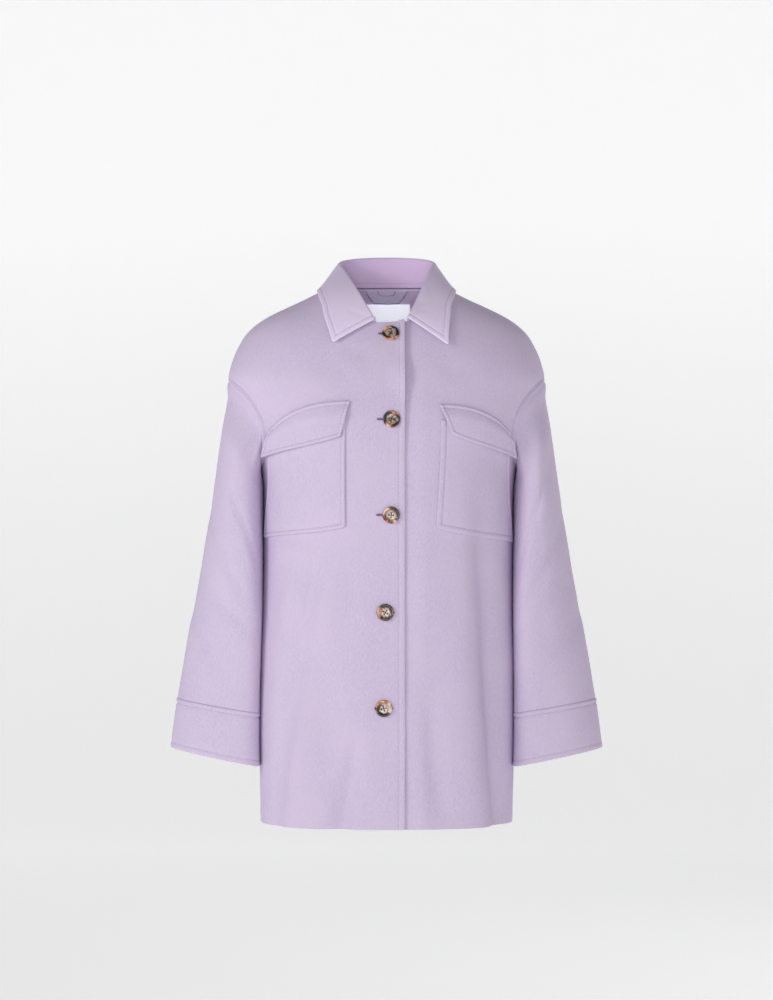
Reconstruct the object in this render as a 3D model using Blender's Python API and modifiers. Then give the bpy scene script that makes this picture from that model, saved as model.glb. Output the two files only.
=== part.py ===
"""A buttoned wool shacket, filled out as if worn, with no wearer inside.

Lengths are in millimetres and become metres when a mesh is made. The garment faces -Y, its height runs along
+Z and the wearer's left is at +X. The origin is the middle of the neck's base. An angle runs round the body
in degrees: 0 is the centre front, 90 the wearer's left side, -90 the right side and 180 the centre back.
"""

import math
from typing import NamedTuple

import bpy
import numpy as np
from mathutils import Matrix, Vector

MM = 0.001
SEAM_GAP = 0.3
SEAM_SPREAD = 0.25

# Half the step, in degrees and millimetres, over which the body's slope is read.
NEAR = 0.5

CLOTH = 2.2
RIGHT = -1
LEFT = 1

# Heights of the body's main lines.
HEM = -724.0
UNDERARM = -235.0
ARMHOLE_TOP = -117.0
NECK_SIDE = 8.5

# The shoulder seam lies this far behind the ridge of the shoulder.
SHOULDER_BACK = 8.0

# How far the armhole reaches forward and back of its two ends.
ARMHOLE_FORWARD = 72.0
ARMHOLE_BACKWARD = 62.0

# The lapped edge, the hidden edge under it, and the place where the hidden part comes level again.
LAP_EDGE = 25.0
UNDERLAP_EDGE = -25.0
UNDERLAP_STEP = 28.0
UNDERLAP_LEVEL = 52.0
UNDERLAP_DEPTH = CLOTH + 0.8
COLLAR_RIGHT_END = -14.0
COLLAR_LEFT_END = 27.5

# Divisions of the cloth. A narrow column runs beside each outer edge, and the rows that start at the underarm
# and at the shoulder's end reach these heights at the centre.
EDGE_COLUMN_ANGLE = 2.4
CENTRE_AT_UNDERARM = -310.0
CENTRE_AT_SHOULDER = -74.0
ROW_EASE = 2.4
SIDE_ROWS = 15
ARMHOLE_ROWS = 12
SHOULDER_ROWS = 8
STAND_COLUMNS = 3
FRONT_COLUMNS = 11
BACK_COLUMNS = 20


class BodyRing(NamedTuple):
    """A level section of the body, from the hem up."""

    height: float
    half_width: float
    front: float
    back: float
    squareness: float
    shift: float


BODY_RINGS = (
    BodyRing(-724, 173.5, 146, 132, 2.35, 0.0),
    BodyRing(-640, 174.5, 144, 129, 2.35, 0.3),
    BodyRing(-540, 174.5, 141, 124, 2.35, 0.8),
    BodyRing(-440, 173.0, 139, 118, 2.35, 1.6),
    BodyRing(-338, 171.5, 139, 115, 2.35, 2.4),
    BodyRing(-290, 171.5, 140.5, 116, 2.32, 2.8),
    BodyRing(-260, 172.5, 141, 117, 2.31, 3.1),
    BodyRing(-235, 176.0, 141, 118, 2.30, 3.3),
    BodyRing(-210, 182.5, 140, 120, 2.30, 3.4),
    BodyRing(-185, 191.0, 138, 121, 2.28, 3.4),
    BodyRing(-160, 200.5, 135, 121, 2.26, 2.2),
    BodyRing(-138, 210.0, 130, 120, 2.22, 1.0),
    BodyRing(-117, 217.5, 125, 118, 2.20, 0.0),
    BodyRing(-95, 213.5, 118, 114, 2.20, 0.0),
    BodyRing(-73, 204.5, 109, 108, 2.20, 0.0),
    BodyRing(-51, 190.0, 97, 100, 2.20, 0.0),
    BodyRing(-40, 177.3, 90, 95, 2.20, 0.0),
    BodyRing(-29, 159.4, 82, 90, 2.20, 0.0),
    BodyRing(-18, 136.5, 74, 85, 2.20, 0.0),
    BodyRing(-7, 113.0, 65, 79, 2.20, 0.0),
    BodyRing(1, 97.0, 57, 75, 2.20, 0.0),
    BodyRing(8.5, 80.0, 49, 71, 2.20, 0.0),
    BodyRing(16, 64.0, 40, 66, 2.20, 0.0),
    BodyRing(30, 42.0, 22, 46, 2.20, 0.0),
    BodyRing(60, 20.0, 10, 20, 2.20, 0.0),
)


class NeckPoint(NamedTuple):
    """Height of the neck seam at an angle round the body."""

    angle: float
    height: float


NECKLINE = (
    NeckPoint(-180, 13.0),
    NeckPoint(-150, 12.6),
    NeckPoint(-120, 11.0),
    NeckPoint(-96, 8.5),
    NeckPoint(-75, 0.0),
    NeckPoint(-60, -11.0),
    NeckPoint(-45, -22.0),
    NeckPoint(-30, -32.5),
    NeckPoint(-18, -39.0),
    NeckPoint(-9, -42.0),
    NeckPoint(0, -42.0),
    NeckPoint(9, -41.0),
    NeckPoint(17, -39.0),
    NeckPoint(30, -31.5),
    NeckPoint(45, -22.0),
    NeckPoint(60, -11.0),
    NeckPoint(75, 0.0),
    NeckPoint(96, 8.5),
    NeckPoint(120, 11.0),
    NeckPoint(150, 12.6),
    NeckPoint(180, 13.0),
)


class Fold(NamedTuple):
    """A soft trough or ridge in the body's cloth. A negative depth is a trough."""

    top_angle: float
    top: float
    bottom_angle: float
    bottom: float
    width: float
    depth: float


FOLDS = (
    Fold(-38, -430, -20, -800, 26, -7.0),
    Fold(-52, -500, -46, -860, 24, 4.0),
    Fold(44, -400, 62, -800, 26, -7.0),
    Fold(24, -470, 34, -860, 28, 4.0),
    Fold(150, -330, 138, -820, 30, -7.0),
    Fold(206, -390, 222, -840, 28, -8.0),
    Fold(176, -480, 182, -860, 30, 5.0),
)
FOLD_RADIUS = 150.0
FOLD_ENDS = 0.4


class SleeveSection(NamedTuple):
    """A section of the sleeve, from the upper arm down. The body's side gives its inner edge."""

    outer_x: float
    outer_height: float
    inner_height: float
    half_depth: float
    forward: float


SLEEVE_SECTIONS = (
    SleeveSection(227.5, -190, -266, 73, 0),
    SleeveSection(236.0, -255, -318, 74, 1),
    SleeveSection(247.0, -325, -376, 71, 3),
    SleeveSection(258.8, -393, -434, 67, 5),
    SleeveSection(271.0, -454, -486, 62, 8),
    SleeveSection(283.0, -518, -542, 57, 10),
    SleeveSection(289.0, -555, -573, 54, 12),
)
CUFF_SECTIONS = (
    SleeveSection(290.5, -555.3, -573.3, 55, 12),
    SleeveSection(294.0, -579, -598, 54.5, 12.5),
    SleeveSection(299.5, -622.5, -646, 53, 13.5),
)
SLEEVE_CLEARANCE = 1.4
SLEEVE_CAP_ROWS = 5
SLEEVE_ROWS = 9
CUFF_ROWS = 3
CUFF_CLOTH = 2.6
CAP_START_PULL = 0.72
CAP_END_PULL = 0.75
CAP_FOLLOW_START = 0.25
CAP_FOLLOW = 3.0
CAP_RISE = 0.3
MITRE = 0.6


class CollarPoint(NamedTuple):
    """A place along the collar, from the right front end at 0 round the back at 0.5 to the left end at 1."""

    along: float
    x: float
    y: float
    height: float


FOLD_LINE = (
    CollarPoint(0.00, -14.5, -92.0, -34.0),
    CollarPoint(0.07, -23.5, -80.0, -21.5),
    CollarPoint(0.14, -34.5, -60.0, -4.0),
    CollarPoint(0.21, -46.0, -31.0, 16.0),
    CollarPoint(0.28, -56.5, 4.0, 34.5),
    CollarPoint(0.36, -62.5, 38.0, 48.0),
    CollarPoint(0.43, -44.0, 64.0, 54.5),
    CollarPoint(0.50, 0.5, 75.0, 57.0),
    CollarPoint(0.57, 45.5, 64.0, 54.5),
    CollarPoint(0.64, 64.5, 38.0, 48.0),
    CollarPoint(0.72, 58.0, 4.0, 32.5),
    CollarPoint(0.79, 50.0, -30.0, 12.5),
    CollarPoint(0.86, 41.5, -58.0, -7.5),
    CollarPoint(0.93, 33.5, -81.0, -23.5),
    CollarPoint(1.00, 27.5, -93.5, -32.5),
)


class CollarEdgePoint(NamedTuple):
    """Where the collar's free edge lies over the body, along the collar from end to end."""

    along: float
    angle: float
    height: float


COLLAR_EDGE = (
    CollarEdgePoint(0.00, -37.0, -69.5),
    CollarEdgePoint(0.06, -41.5, -52.0),
    CollarEdgePoint(0.12, -47.5, -35.0),
    CollarEdgePoint(0.18, -57.0, -18.0),
    CollarEdgePoint(0.24, -73.0, -4.5),
    CollarEdgePoint(0.30, -92.0, 1.0),
    CollarEdgePoint(0.40, -133.0, -2.0),
    CollarEdgePoint(0.50, -180.0, -8.0),
    CollarEdgePoint(0.60, -227.0, -2.0),
    CollarEdgePoint(0.70, -268.0, 1.0),
    CollarEdgePoint(0.76, -287.0, -4.5),
    CollarEdgePoint(0.82, -303.0, -18.0),
    CollarEdgePoint(0.88, -312.0, -36.0),
    CollarEdgePoint(0.94, -317.5, -54.0),
    CollarEdgePoint(1.00, -320.5, -71.5),
)
COLLAR_CLOTH = 2.6
COLLAR_LIFT = 2.2
COLLAR_STAND_ROWS = 3
COLLAR_ROLL_ROWS = 4
COLLAR_FALL_ROWS = 6
ROLL_RADIUS_END = 3.0
ROLL_RADIUS_BACK = 4.4
FALL_BOW = 4.0


class PocketPlan(NamedTuple):
    """A patch pocket bag on one front, by the angles and heights of its corners."""

    side: int
    inner_top_angle: float
    inner_bottom_angle: float
    outer_top_angle: float
    outer_bottom_angle: float
    inner_top: float
    inner_bottom: float
    outer_top: float
    outer_bottom: float


POCKETS = (
    PocketPlan(RIGHT, 23.5, 23.0, 66.0, 79.0, -171, -318, -210, -335),
    PocketPlan(LEFT, 28.0, 25.5, 66.0, 79.0, -176, -319, -212, -341),
)


class FlapPlan(NamedTuple):
    """A pocket flap on one front, by the angles and heights of its corners."""

    side: int
    inner_top_angle: float
    inner_bottom_angle: float
    outer_top_angle: float
    outer_bottom_angle: float
    inner_top: float
    inner_bottom: float
    outer_top: float
    outer_bottom: float


FLAPS = (
    FlapPlan(RIGHT, 21.0, 25.5, 62.5, 70.5, -150.5, -197.5, -189.0, -224.5),
    FlapPlan(LEFT, 28.0, 32.5, 63.0, 70.5, -155.0, -194.5, -191.0, -226.0),
)
POCKET_CLOTH = 2.0
PATCH_GAP = 0.6
POCKET_COLUMNS = 14
POCKET_ROWS = 8
FLAP_COLUMNS = 14
FLAP_ROWS = 5
FLAP_TOP_DROOP = 2.7
FLAP_BOTTOM_DROOP = 0.8
POCKET_BOTTOM_DROOP = 0.6
FLAP_STAND = POCKET_CLOTH + 1.0
FLAP_CORNER_LIFT = 2.0

# The facing covers this share of the back's columns and rows, from the neck seam down.
FACING_FIRST_COLUMN = 5
FACING_LAST_COLUMN = 15
FACING_ROWS = 4
FACING_CLOTH = 1.2

LABEL_WIDTH = 68.0
LABEL_TOP = -7.0
LABEL_BOTTOM = -50.0
LABEL_CLOTH = 1.0
LABEL_STAND = 0.5
LABEL_COLUMNS = 6
LABEL_ROWS = 4

# The hanger loop, a ribbon whose two ends leave the neck seam.
LOOP_OUTER_HALF = 34.0
LOOP_INNER_HALF = 12.0
LOOP_LOW_OUTER_HALF = 18.5
LOOP_LOW_INNER_HALF = 9.0
LOOP_TOP = 12.5
LOOP_INNER_DROP = 5.5
LOOP_DROP = 19.0
LOOP_CLOTH = 1.0
LOOP_STAND = 1.9
LOOP_BEND = 1.0
LOOP_ROWS = 3

BUTTON_RADIUS = 11.45
BUTTON_HOLE_RADIUS = 1.15
BUTTON_HOLE_SPREAD = 2.2
BUTTON_STEPS = 18
BUTTON_HOLE_SIDES = 8
BUTTON_TOP = 5.0
BUTTON_STAND = 0.4
BUTTON_MERGE = 0.01


class ProfilePoint(NamedTuple):
    """A point of the button's turned outline, down its outer side from the middle of its face."""

    radius: float
    height: float


BUTTON_PROFILE = (
    ProfilePoint(0.0, 2.3),
    ProfilePoint(6.4, 2.5),
    ProfilePoint(8.3, 3.5),
    ProfilePoint(9.8, 3.9),
    ProfilePoint(11.1, 3.3),
    ProfilePoint(BUTTON_RADIUS, 2.0),
    ProfilePoint(10.6, 0.7),
    ProfilePoint(8.6, 0.0),
    ProfilePoint(0.0, 0.0),
)


class ButtonPlace(NamedTuple):
    """The middle of a button on the lapped front, across and up."""

    x: float
    height: float
    turn: float


BUTTONS = (
    ButtonPlace(5.5, -58.8, 8),
    ButtonPlace(6.8, -174.8, 25),
    ButtonPlace(6.2, -303.0, 40),
    ButtonPlace(-1.6, -433.4, 15),
    ButtonPlace(-3.6, -561.7, 60),
)


class Finish(NamedTuple):
    """Base colour as sRGB hex, and roughness."""

    colour: str
    roughness: float


WOOL = Finish("C9BBD6", 0.92)
WOOL_INSIDE = Finish("B7A0C6", 0.94)
RIBBON = Finish("A497B8", 0.45)
LABEL = Finish("E8EEFA", 0.6)
HORN = Finish("4A352C", 0.28)


def smooth(places, values, at):
    """A smooth curve through the table's values, read at any place."""
    places = np.asarray(places, float)
    values = np.asarray(values, float)
    at = np.clip(np.asarray(at, float), places[0], places[-1])
    slopes = np.gradient(values, places)
    i = np.clip(np.searchsorted(places, at, side="right") - 1, 0, len(places) - 2)
    span = places[i + 1] - places[i]
    t = (at - places[i]) / span
    start = (1 + 2 * t) * (1 - t) ** 2 * values[i] + t * (1 - t) ** 2 * span * slopes[i]
    end = t**2 * (3 - 2 * t) * values[i + 1] - t**2 * (1 - t) * span * slopes[i + 1]
    return start + end


def step(t):
    """Eases from 0 to 1."""
    t = np.clip(t, 0.0, 1.0)
    return t * t * (3 - 2 * t)


def unit(vectors):
    return vectors / np.linalg.norm(vectors, axis=-1, keepdims=True)


def wrapped(angle):
    """The same direction between -180 and 180 degrees."""
    return (np.asarray(angle, float) + 180.0) % 360.0 - 180.0


RING_HEIGHTS = [ring.height for ring in BODY_RINGS]


def ring_value(column, height):
    return smooth(RING_HEIGHTS, [getattr(ring, column) for ring in BODY_RINGS], height)


def fold_relief(angle, height):
    """How far the folds move the cloth out or in."""
    relief = np.zeros(np.broadcast(angle, height).shape)
    for fold in FOLDS:
        down = (fold.top - height) / (fold.top - fold.bottom)
        middle = fold.top_angle + (fold.bottom_angle - fold.top_angle) * down
        across = np.radians(wrapped(angle - middle)) * FOLD_RADIUS / fold.width
        ends = step(down / FOLD_ENDS) * step((1 - down) / FOLD_ENDS)
        relief = relief + fold.depth * ends * np.exp(-(across**2))
    return relief


def body_radius(angle, height):
    """Distance of the body's outer surface from its upright middle line."""
    turn = np.radians(angle)
    power = ring_value("squareness", height)
    depth = np.where(np.cos(turn) >= 0, ring_value("front", height), ring_value("back", height))
    across = (np.abs(np.sin(turn)) / ring_value("half_width", height)) ** power
    along = (np.abs(np.cos(turn)) / depth) ** power
    return (across + along) ** (-1 / power) + fold_relief(angle, height)


def body_base(angle, height):
    angle, height = np.broadcast_arrays(np.asarray(angle, float), np.asarray(height, float))
    turn = np.radians(angle)
    radius = body_radius(angle, height)
    x = ring_value("shift", height) + radius * np.sin(turn)
    return np.stack([x, -radius * np.cos(turn), height], -1)


def body_normal(angle, height):
    around = body_base(angle + NEAR, height) - body_base(angle - NEAR, height)
    up = body_base(angle, height + NEAR) - body_base(angle, height - NEAR)
    return unit(np.cross(around, up))


def body_point(angle, height, out=0.0):
    """A point of the body's outer surface, moved out by a distance."""
    out = np.asarray(out, float)[..., None]
    return body_base(angle, height) + body_normal(angle, height) * out


def underlap_inset(angle, height):
    """How far the left front lies inside the body's surface, under the lapped edge."""
    x = body_base(angle, height)[..., 0]
    hidden = step((UNDERLAP_LEVEL - x) / (UNDERLAP_LEVEL - UNDERLAP_STEP))
    return UNDERLAP_DEPTH * hidden * (np.cos(np.radians(angle)) > 0)


def front_point(side, angle, height, out=0.0):
    """A point on the outer face of one front, moved out by a distance."""
    if side == LEFT:
        out = out - underlap_inset(angle, height)
    return body_point(angle, height, out)


def angle_at_depth(height, y, side):
    """The angle at which the body's surface has this y, on one side."""
    depth = np.where(y < 0, ring_value("front", height), ring_value("back", height))
    power = ring_value("squareness", height)
    x = ring_value("half_width", height) * (1 - (np.abs(y) / depth) ** power) ** (1 / power)
    return side * np.degrees(np.arctan2(x, -y))


def angle_at_width(height, x):
    """The angle at which the front's surface has this x."""
    power = ring_value("squareness", height)
    across = x - ring_value("shift", height)
    share = (np.abs(across) / ring_value("half_width", height)) ** power
    y = ring_value("front", height) * (1 - share) ** (1 / power)
    return np.degrees(np.arctan2(across, y))


def neck_height(angle):
    return smooth([p.angle for p in NECKLINE], [p.height for p in NECKLINE], wrapped(angle))


def pairs(angles, heights):
    return np.stack(np.broadcast_arrays(angles, heights), -1).astype(float)


def armhole_edge(side, face):
    """Angles and heights of half an armhole, from the underarm up. The face is -1 in front and 1 behind."""
    turn = np.radians(np.linspace(180, 0, ARMHOLE_ROWS + 1))
    middle = (UNDERARM + ARMHOLE_TOP) / 2
    heights = middle + (ARMHOLE_TOP - UNDERARM) / 2 * np.cos(turn)
    reach = ARMHOLE_FORWARD if face < 0 else ARMHOLE_BACKWARD
    y = SHOULDER_BACK * (1 + np.cos(turn)) / 2 + face * (reach * np.sin(turn) + SEAM_SPREAD)
    return pairs(angle_at_depth(heights, y, side), heights)


def outer_edge(side, face):
    """The side seam, half the armhole and the shoulder seam, from the hem up to the neck."""
    low = np.linspace(HEM, UNDERARM, SIDE_ROWS + 1)[:-1]
    side_seam = pairs(angle_at_depth(low, np.full(low.shape, face * SEAM_SPREAD), side), low)
    high = np.linspace(ARMHOLE_TOP, NECK_SIDE, SHOULDER_ROWS + 1)[1:]
    ridge = np.full(high.shape, SHOULDER_BACK + face * SEAM_SPREAD)
    shoulder = pairs(angle_at_depth(high, ridge, side), high)
    return np.concatenate([side_seam, armhole_edge(side, face), shoulder])


def joined_spans(*spans):
    """Runs of even steps, each given as its first value, last value and steps, joined end to end."""
    parts = [np.linspace(first, last, count + 1)[:-1] for first, last, count in spans]
    return np.append(np.concatenate(parts), spans[-1][1])


def half_panel(outer, centre, bottom, top):
    """A grid of angles and heights between four edges. Its first index runs from the outer edge inwards.

    Its rows fan out from the armhole, steepest at the outer edge, so that they part evenly at its corners.
    """
    across = (bottom[:, 0] - bottom[0, 0]) / (bottom[-1, 0] - bottom[0, 0])
    s = np.stack([across, 1 - (1 - across) ** ROW_EASE], -1)[:, None]
    up = [(edge[:, 1] - edge[0, 1]) / (edge[-1, 1] - edge[0, 1]) for edge in (outer, centre)]
    t = ((up[0] + up[1]) / 2)[None, :, None]
    ruled_up = (1 - t) * bottom[:, None] + t * top[:, None]
    ruled_across = (1 - s) * outer[None] + s * centre[None]
    corners = (1 - s) * ((1 - t) * bottom[0] + t * top[0])
    corners = corners + s * ((1 - t) * bottom[-1] + t * top[-1])
    return ruled_up + ruled_across - corners


def centre_heights(neck):
    """Heights of the rows at the centre, from the hem up to the neck."""
    return joined_spans(
        (HEM, CENTRE_AT_UNDERARM, SIDE_ROWS),
        (CENTRE_AT_UNDERARM, CENTRE_AT_SHOULDER, ARMHOLE_ROWS),
        (CENTRE_AT_SHOULDER, neck, SHOULDER_ROWS),
    )


def front_grid(side):
    """Angles and heights of one front, by increasing angle and then by height."""
    outer = outer_edge(side, -1)
    edge_x = LAP_EDGE if side == RIGHT else UNDERLAP_EDGE
    collar_x = COLLAR_RIGHT_END if side == RIGHT else COLLAR_LEFT_END
    heights = centre_heights(neck_height(angle_at_width(neck_height(0.0), edge_x)))
    edge = pairs(angle_at_width(heights, np.full(heights.shape, edge_x)), heights)

    def columns(height, first, last):
        beside = first - side * EDGE_COLUMN_ANGLE
        stand = angle_at_width(height, collar_x)
        return joined_spans(
            (first, beside, 1), (beside, stand, FRONT_COLUMNS - 1), (stand, last, STAND_COLUMNS)
        )

    bottom = pairs(columns(HEM, outer[0, 0], edge[0, 0]), HEM)
    top_angles = columns(neck_height(0.0), outer[-1, 0], edge[-1, 0])
    top = pairs(top_angles, neck_height(top_angles))
    top[0] = outer[-1]
    top[-1] = edge[-1]
    grid = half_panel(outer, edge, bottom, top)
    return grid if side == RIGHT else grid[::-1]


def back_half(side):
    """Angles and heights of half the back, from its outer edge to the centre back."""
    outer = outer_edge(side, 1)
    heights = centre_heights(neck_height(180.0))
    centre = pairs(side * 180.0, heights)
    half = BACK_COLUMNS // 2

    def columns(first):
        beside = first + side * EDGE_COLUMN_ANGLE
        return joined_spans((first, beside, 1), (beside, side * 180.0, half - 1))

    top_angles = columns(outer[-1, 0])
    top = pairs(top_angles, neck_height(top_angles))
    top[0] = outer[-1]
    return half_panel(outer, centre, pairs(columns(outer[0, 0]), HEM), top)


def back_grid():
    """Angles and heights of the back, from the wearer's left side round to the right."""
    right = back_half(RIGHT)[::-1] + [360.0, 0.0]
    return np.concatenate([back_half(LEFT), right[1:]])


def srgb_to_linear(code):
    """Turns an sRGB hex colour into linear RGBA."""
    shares = [int(code[i : i + 2], 16) / 255 for i in (0, 2, 4)]
    return (*[s / 12.92 if s <= 0.04045 else ((s + 0.055) / 1.055) ** 2.4 for s in shares], 1.0)


def give_material(obj, finish):
    material = bpy.data.materials.new(obj.name)
    material.use_nodes = True
    shader = material.node_tree.nodes["Principled BSDF"]
    shader.inputs["Base Color"].default_value = srgb_to_linear(finish.colour)
    shader.inputs["Roughness"].default_value = finish.roughness
    shader.inputs["Metallic"].default_value = 0.0
    material.diffuse_color = srgb_to_linear(finish.colour)
    obj.data.materials.append(material)


def cloth_object(name, points, thickness, finish, collection, closed=False):
    """Cloth from a grid of points on its outer face, with its thickness turned inwards.

    The outer side is where the first index's direction crossed with the second's points. A closed grid
    joins its last column to its first.
    """
    columns, rows = points.shape[:2]
    faces = []
    for i in range(columns if closed else columns - 1):
        for j in range(rows - 1):
            k = (i + 1) % columns
            faces.append((i * rows + j, k * rows + j, k * rows + j + 1, i * rows + j + 1))
    mesh = bpy.data.meshes.new(name)
    mesh.from_pydata((points.reshape(-1, 3) * MM).tolist(), [], faces)
    mesh.shade_smooth()
    obj = bpy.data.objects.new(name, mesh)
    collection.objects.link(obj)
    wall = obj.modifiers.new("Cloth", "SOLIDIFY")
    wall.thickness = thickness * MM
    wall.offset = -1
    wall.use_even_offset = True
    give_material(obj, finish)
    return obj


def build_body(collection):
    """The two fronts and the back."""
    for side, name in ((RIGHT, "right_front"), (LEFT, "left_front")):
        grid = front_grid(side)
        points = front_point(side, grid[..., 0], grid[..., 1])
        cloth_object(name, points, CLOTH, WOOL, collection)
    grid = back_grid()
    cloth_object("back", body_point(grid[..., 0], grid[..., 1]), CLOTH, WOOL, collection)


def armhole_loop(side):
    """Points and outward normals round an armhole: top, front, underarm and back."""
    front = armhole_edge(side, -1)[::-1]
    back = armhole_edge(side, 1)[1:-1]
    loop = np.concatenate([front, back])
    return body_point(loop[:, 0], loop[:, 1]), body_normal(loop[:, 0], loop[:, 1])


def sleeve_ring(side, section, columns, out=0.0):
    """Points round a sleeve section, from its outer edge to the front, the inner edge and the back."""
    turn = np.linspace(0, 2 * np.pi, columns, endpoint=False)
    height = section.inner_height
    inner_x = side * (ring_value("half_width", height) + SLEEVE_CLEARANCE) + ring_value("shift", height)
    outer = np.array([side * section.outer_x, -section.forward, section.outer_height])
    inner = np.array([inner_x, -section.forward, section.inner_height])
    middle, half = (outer + inner) / 2, (outer - inner) / 2
    half = half * (1 + out / np.linalg.norm(half))
    depth = np.array([0.0, -(section.half_depth + out), 0.0])
    return middle + np.cos(turn)[:, None] * half + np.sin(turn)[:, None] * depth


def read_section(sections, share):
    """The section at a share of the way along a table of sections."""
    places = np.linspace(0, 1, len(sections))
    return SleeveSection(*[float(smooth(places, column, share)) for column in zip(*sections)])


def sleeve_start(points, normals):
    """The sleeve's first ring, a seam's gap away from the armhole's edge, and the way it sets out.

    The sleeve carries on the body's slope over the shoulder and turns straight down at the underarm. Where it
    bends down from the body, the walls meet inside the bend, so the ring stands further off.
    """
    across = unit(np.cross(np.roll(points, -1, 0) - np.roll(points, 1, 0), normals))
    inwards = points.mean(0) - points
    across *= np.sign((across * inwards).sum(1, keepdims=True))
    down = np.array([0.0, 0.0, -1.0])
    follow = np.clip((across * down).sum(1, keepdims=True) + CAP_FOLLOW_START, 0, 1)
    heading = unit(down + CAP_FOLLOW * follow * across)
    bend = np.clip(-(heading * normals).sum(1, keepdims=True), 0, 1)
    away = unit(across + heading + CAP_RISE * normals)
    return points + (SEAM_GAP + MITRE * CLOTH * bend) * away, heading


def build_sleeves(collection):
    """Dropped-shoulder sleeves and the deep bands at their ends."""
    columns = 2 * ARMHOLE_ROWS
    for side, name in ((RIGHT, "right"), (LEFT, "left")):
        points, normals = armhole_loop(side)
        rings = [
            sleeve_ring(side, read_section(SLEEVE_SECTIONS, share), columns)
            for share in np.linspace(0, 1, SLEEVE_ROWS + 1)
        ]
        length = np.linalg.norm(rings[0] - points, axis=1, keepdims=True)
        start, heading = sleeve_start(points, normals)
        pull_start = heading * length * CAP_START_PULL
        pull_end = unit(rings[1] - rings[0]) * length * CAP_END_PULL
        cap = []
        for t in np.linspace(0, 1, SLEEVE_CAP_ROWS + 1)[:-1]:
            near = (1 + 2 * t) * (1 - t) ** 2 * start + t * (1 - t) ** 2 * pull_start
            far = t**2 * (3 - 2 * t) * rings[0] - t**2 * (1 - t) * pull_end
            cap.append(near + far)
        sleeve = np.stack(cap + rings, 1)
        cuff = np.stack(
            [
                sleeve_ring(side, read_section(CUFF_SECTIONS, share), columns)
                for share in np.linspace(0, 1, CUFF_ROWS + 1)
            ],
            1,
        )
        if side == RIGHT:
            sleeve, cuff = sleeve[::-1], cuff[::-1]
        cloth_object(f"{name}_sleeve", sleeve, CLOTH, WOOL, collection, closed=True)
        cloth_object(f"{name}_cuff", cuff, CUFF_CLOTH, WOOL, collection, closed=True)


def collar_angles():
    """Angles of the collar's sections, which meet the columns of the panels at the neck seam."""
    right = front_grid(RIGHT)[: FRONT_COLUMNS + 1, -1, 0][::-1]
    back = back_grid()[:, -1, 0][::-1] - 360.0
    left = front_grid(LEFT)[STAND_COLUMNS:, -1, 0][::-1] - 360.0
    return np.concatenate([right, back[1:-1], left])


def collar_seam(angles, fold):
    """The stand's visible lower edge, just above the panels' neck edge, and the body's normals there."""
    heights = neck_height(angles)
    plain = wrapped(angles)
    on_left = (plain > 0) & (plain < 90)
    inset = np.where(on_left, underlap_inset(plain, heights), 0.0)
    normals = body_normal(angles, heights)
    rim = body_point(angles, heights, -inset - CLOTH / 2)
    rise = unit(fold - rim)
    face = unit(normals - (normals * rise).sum(1, keepdims=True) * rise)
    lean = np.hypot(rise[:, 0], rise[:, 1])
    lift = SEAM_GAP + COLLAR_CLOTH / 2 * lean + CLOTH / 2 * np.abs(normals[:, 2]) + inset / 3
    return rim - face * COLLAR_CLOTH / 2 + lift[:, None] * [0.0, 0.0, 1.0], normals


def build_collar(collection):
    """The stand and fall in one piece, rolled over at the fold line."""
    angles = collar_angles()
    neck = body_base(angles, neck_height(angles))
    steps = np.linalg.norm(np.diff(neck, axis=0), axis=1)
    along = np.append(0.0, np.cumsum(steps)) / steps.sum()
    places = [p.along for p in FOLD_LINE]
    fold = np.stack([smooth(places, column, along) for column in list(zip(*FOLD_LINE))[1:]], -1)
    places = [p.along for p in COLLAR_EDGE]
    edge_angle = smooth(places, [p.angle for p in COLLAR_EDGE], along)
    edge_height = smooth(places, [p.height for p in COLLAR_EDGE], along)
    seam, normals = collar_seam(angles, fold)
    edge = body_point(edge_angle, edge_height, COLLAR_CLOTH + COLLAR_LIFT)

    up = unit(fold - (seam + edge) / 2)
    outwards = unit(normals - (normals * up).sum(1, keepdims=True) * up)
    back_share = step(1 - np.abs(2 * along - 1))[:, None]
    radius = ROLL_RADIUS_END + (ROLL_RADIUS_BACK - ROLL_RADIUS_END) * back_share
    middle = fold - radius * up
    inner = middle - radius * outwards
    outer = middle + radius * outwards
    rows = []
    for t in np.linspace(0, 1, COLLAR_STAND_ROWS + 1)[:-1]:
        rows.append(seam + (inner - seam) * t)
    for turn in np.linspace(np.pi, 0, COLLAR_ROLL_ROWS + 1):
        rows.append(middle + radius * (math.cos(turn) * outwards + math.sin(turn) * up))
    for t in np.linspace(0, 1, COLLAR_FALL_ROWS + 1)[1:]:
        bow = 4 * t * (1 - t) * FALL_BOW
        rows.append(outer + (edge - outer) * t + bow * outwards)
    points = np.stack(rows, 1)
    first_fall = COLLAR_STAND_ROWS + COLLAR_ROLL_ROWS + 1
    points[:, first_fall:] = kept_off_body(points[:, first_fall:], COLLAR_CLOTH + COLLAR_LIFT)
    cloth_object("collar", points, COLLAR_CLOTH, WOOL, collection)


def kept_off_body(points, clearance):
    """Moves points out, level with themselves, until they are clear of the body's surface."""
    height = points[..., 2]
    across = points[..., 0] - ring_value("shift", height)
    angle = np.degrees(np.arctan2(across, -points[..., 1]))
    reach = np.hypot(across, points[..., 1])
    wanted = body_radius(angle, height) + clearance
    share = np.maximum(wanted / reach, 1.0)
    moved = points.copy()
    moved[..., 0] += across * (share - 1)
    moved[..., 1] *= share
    return moved


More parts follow.
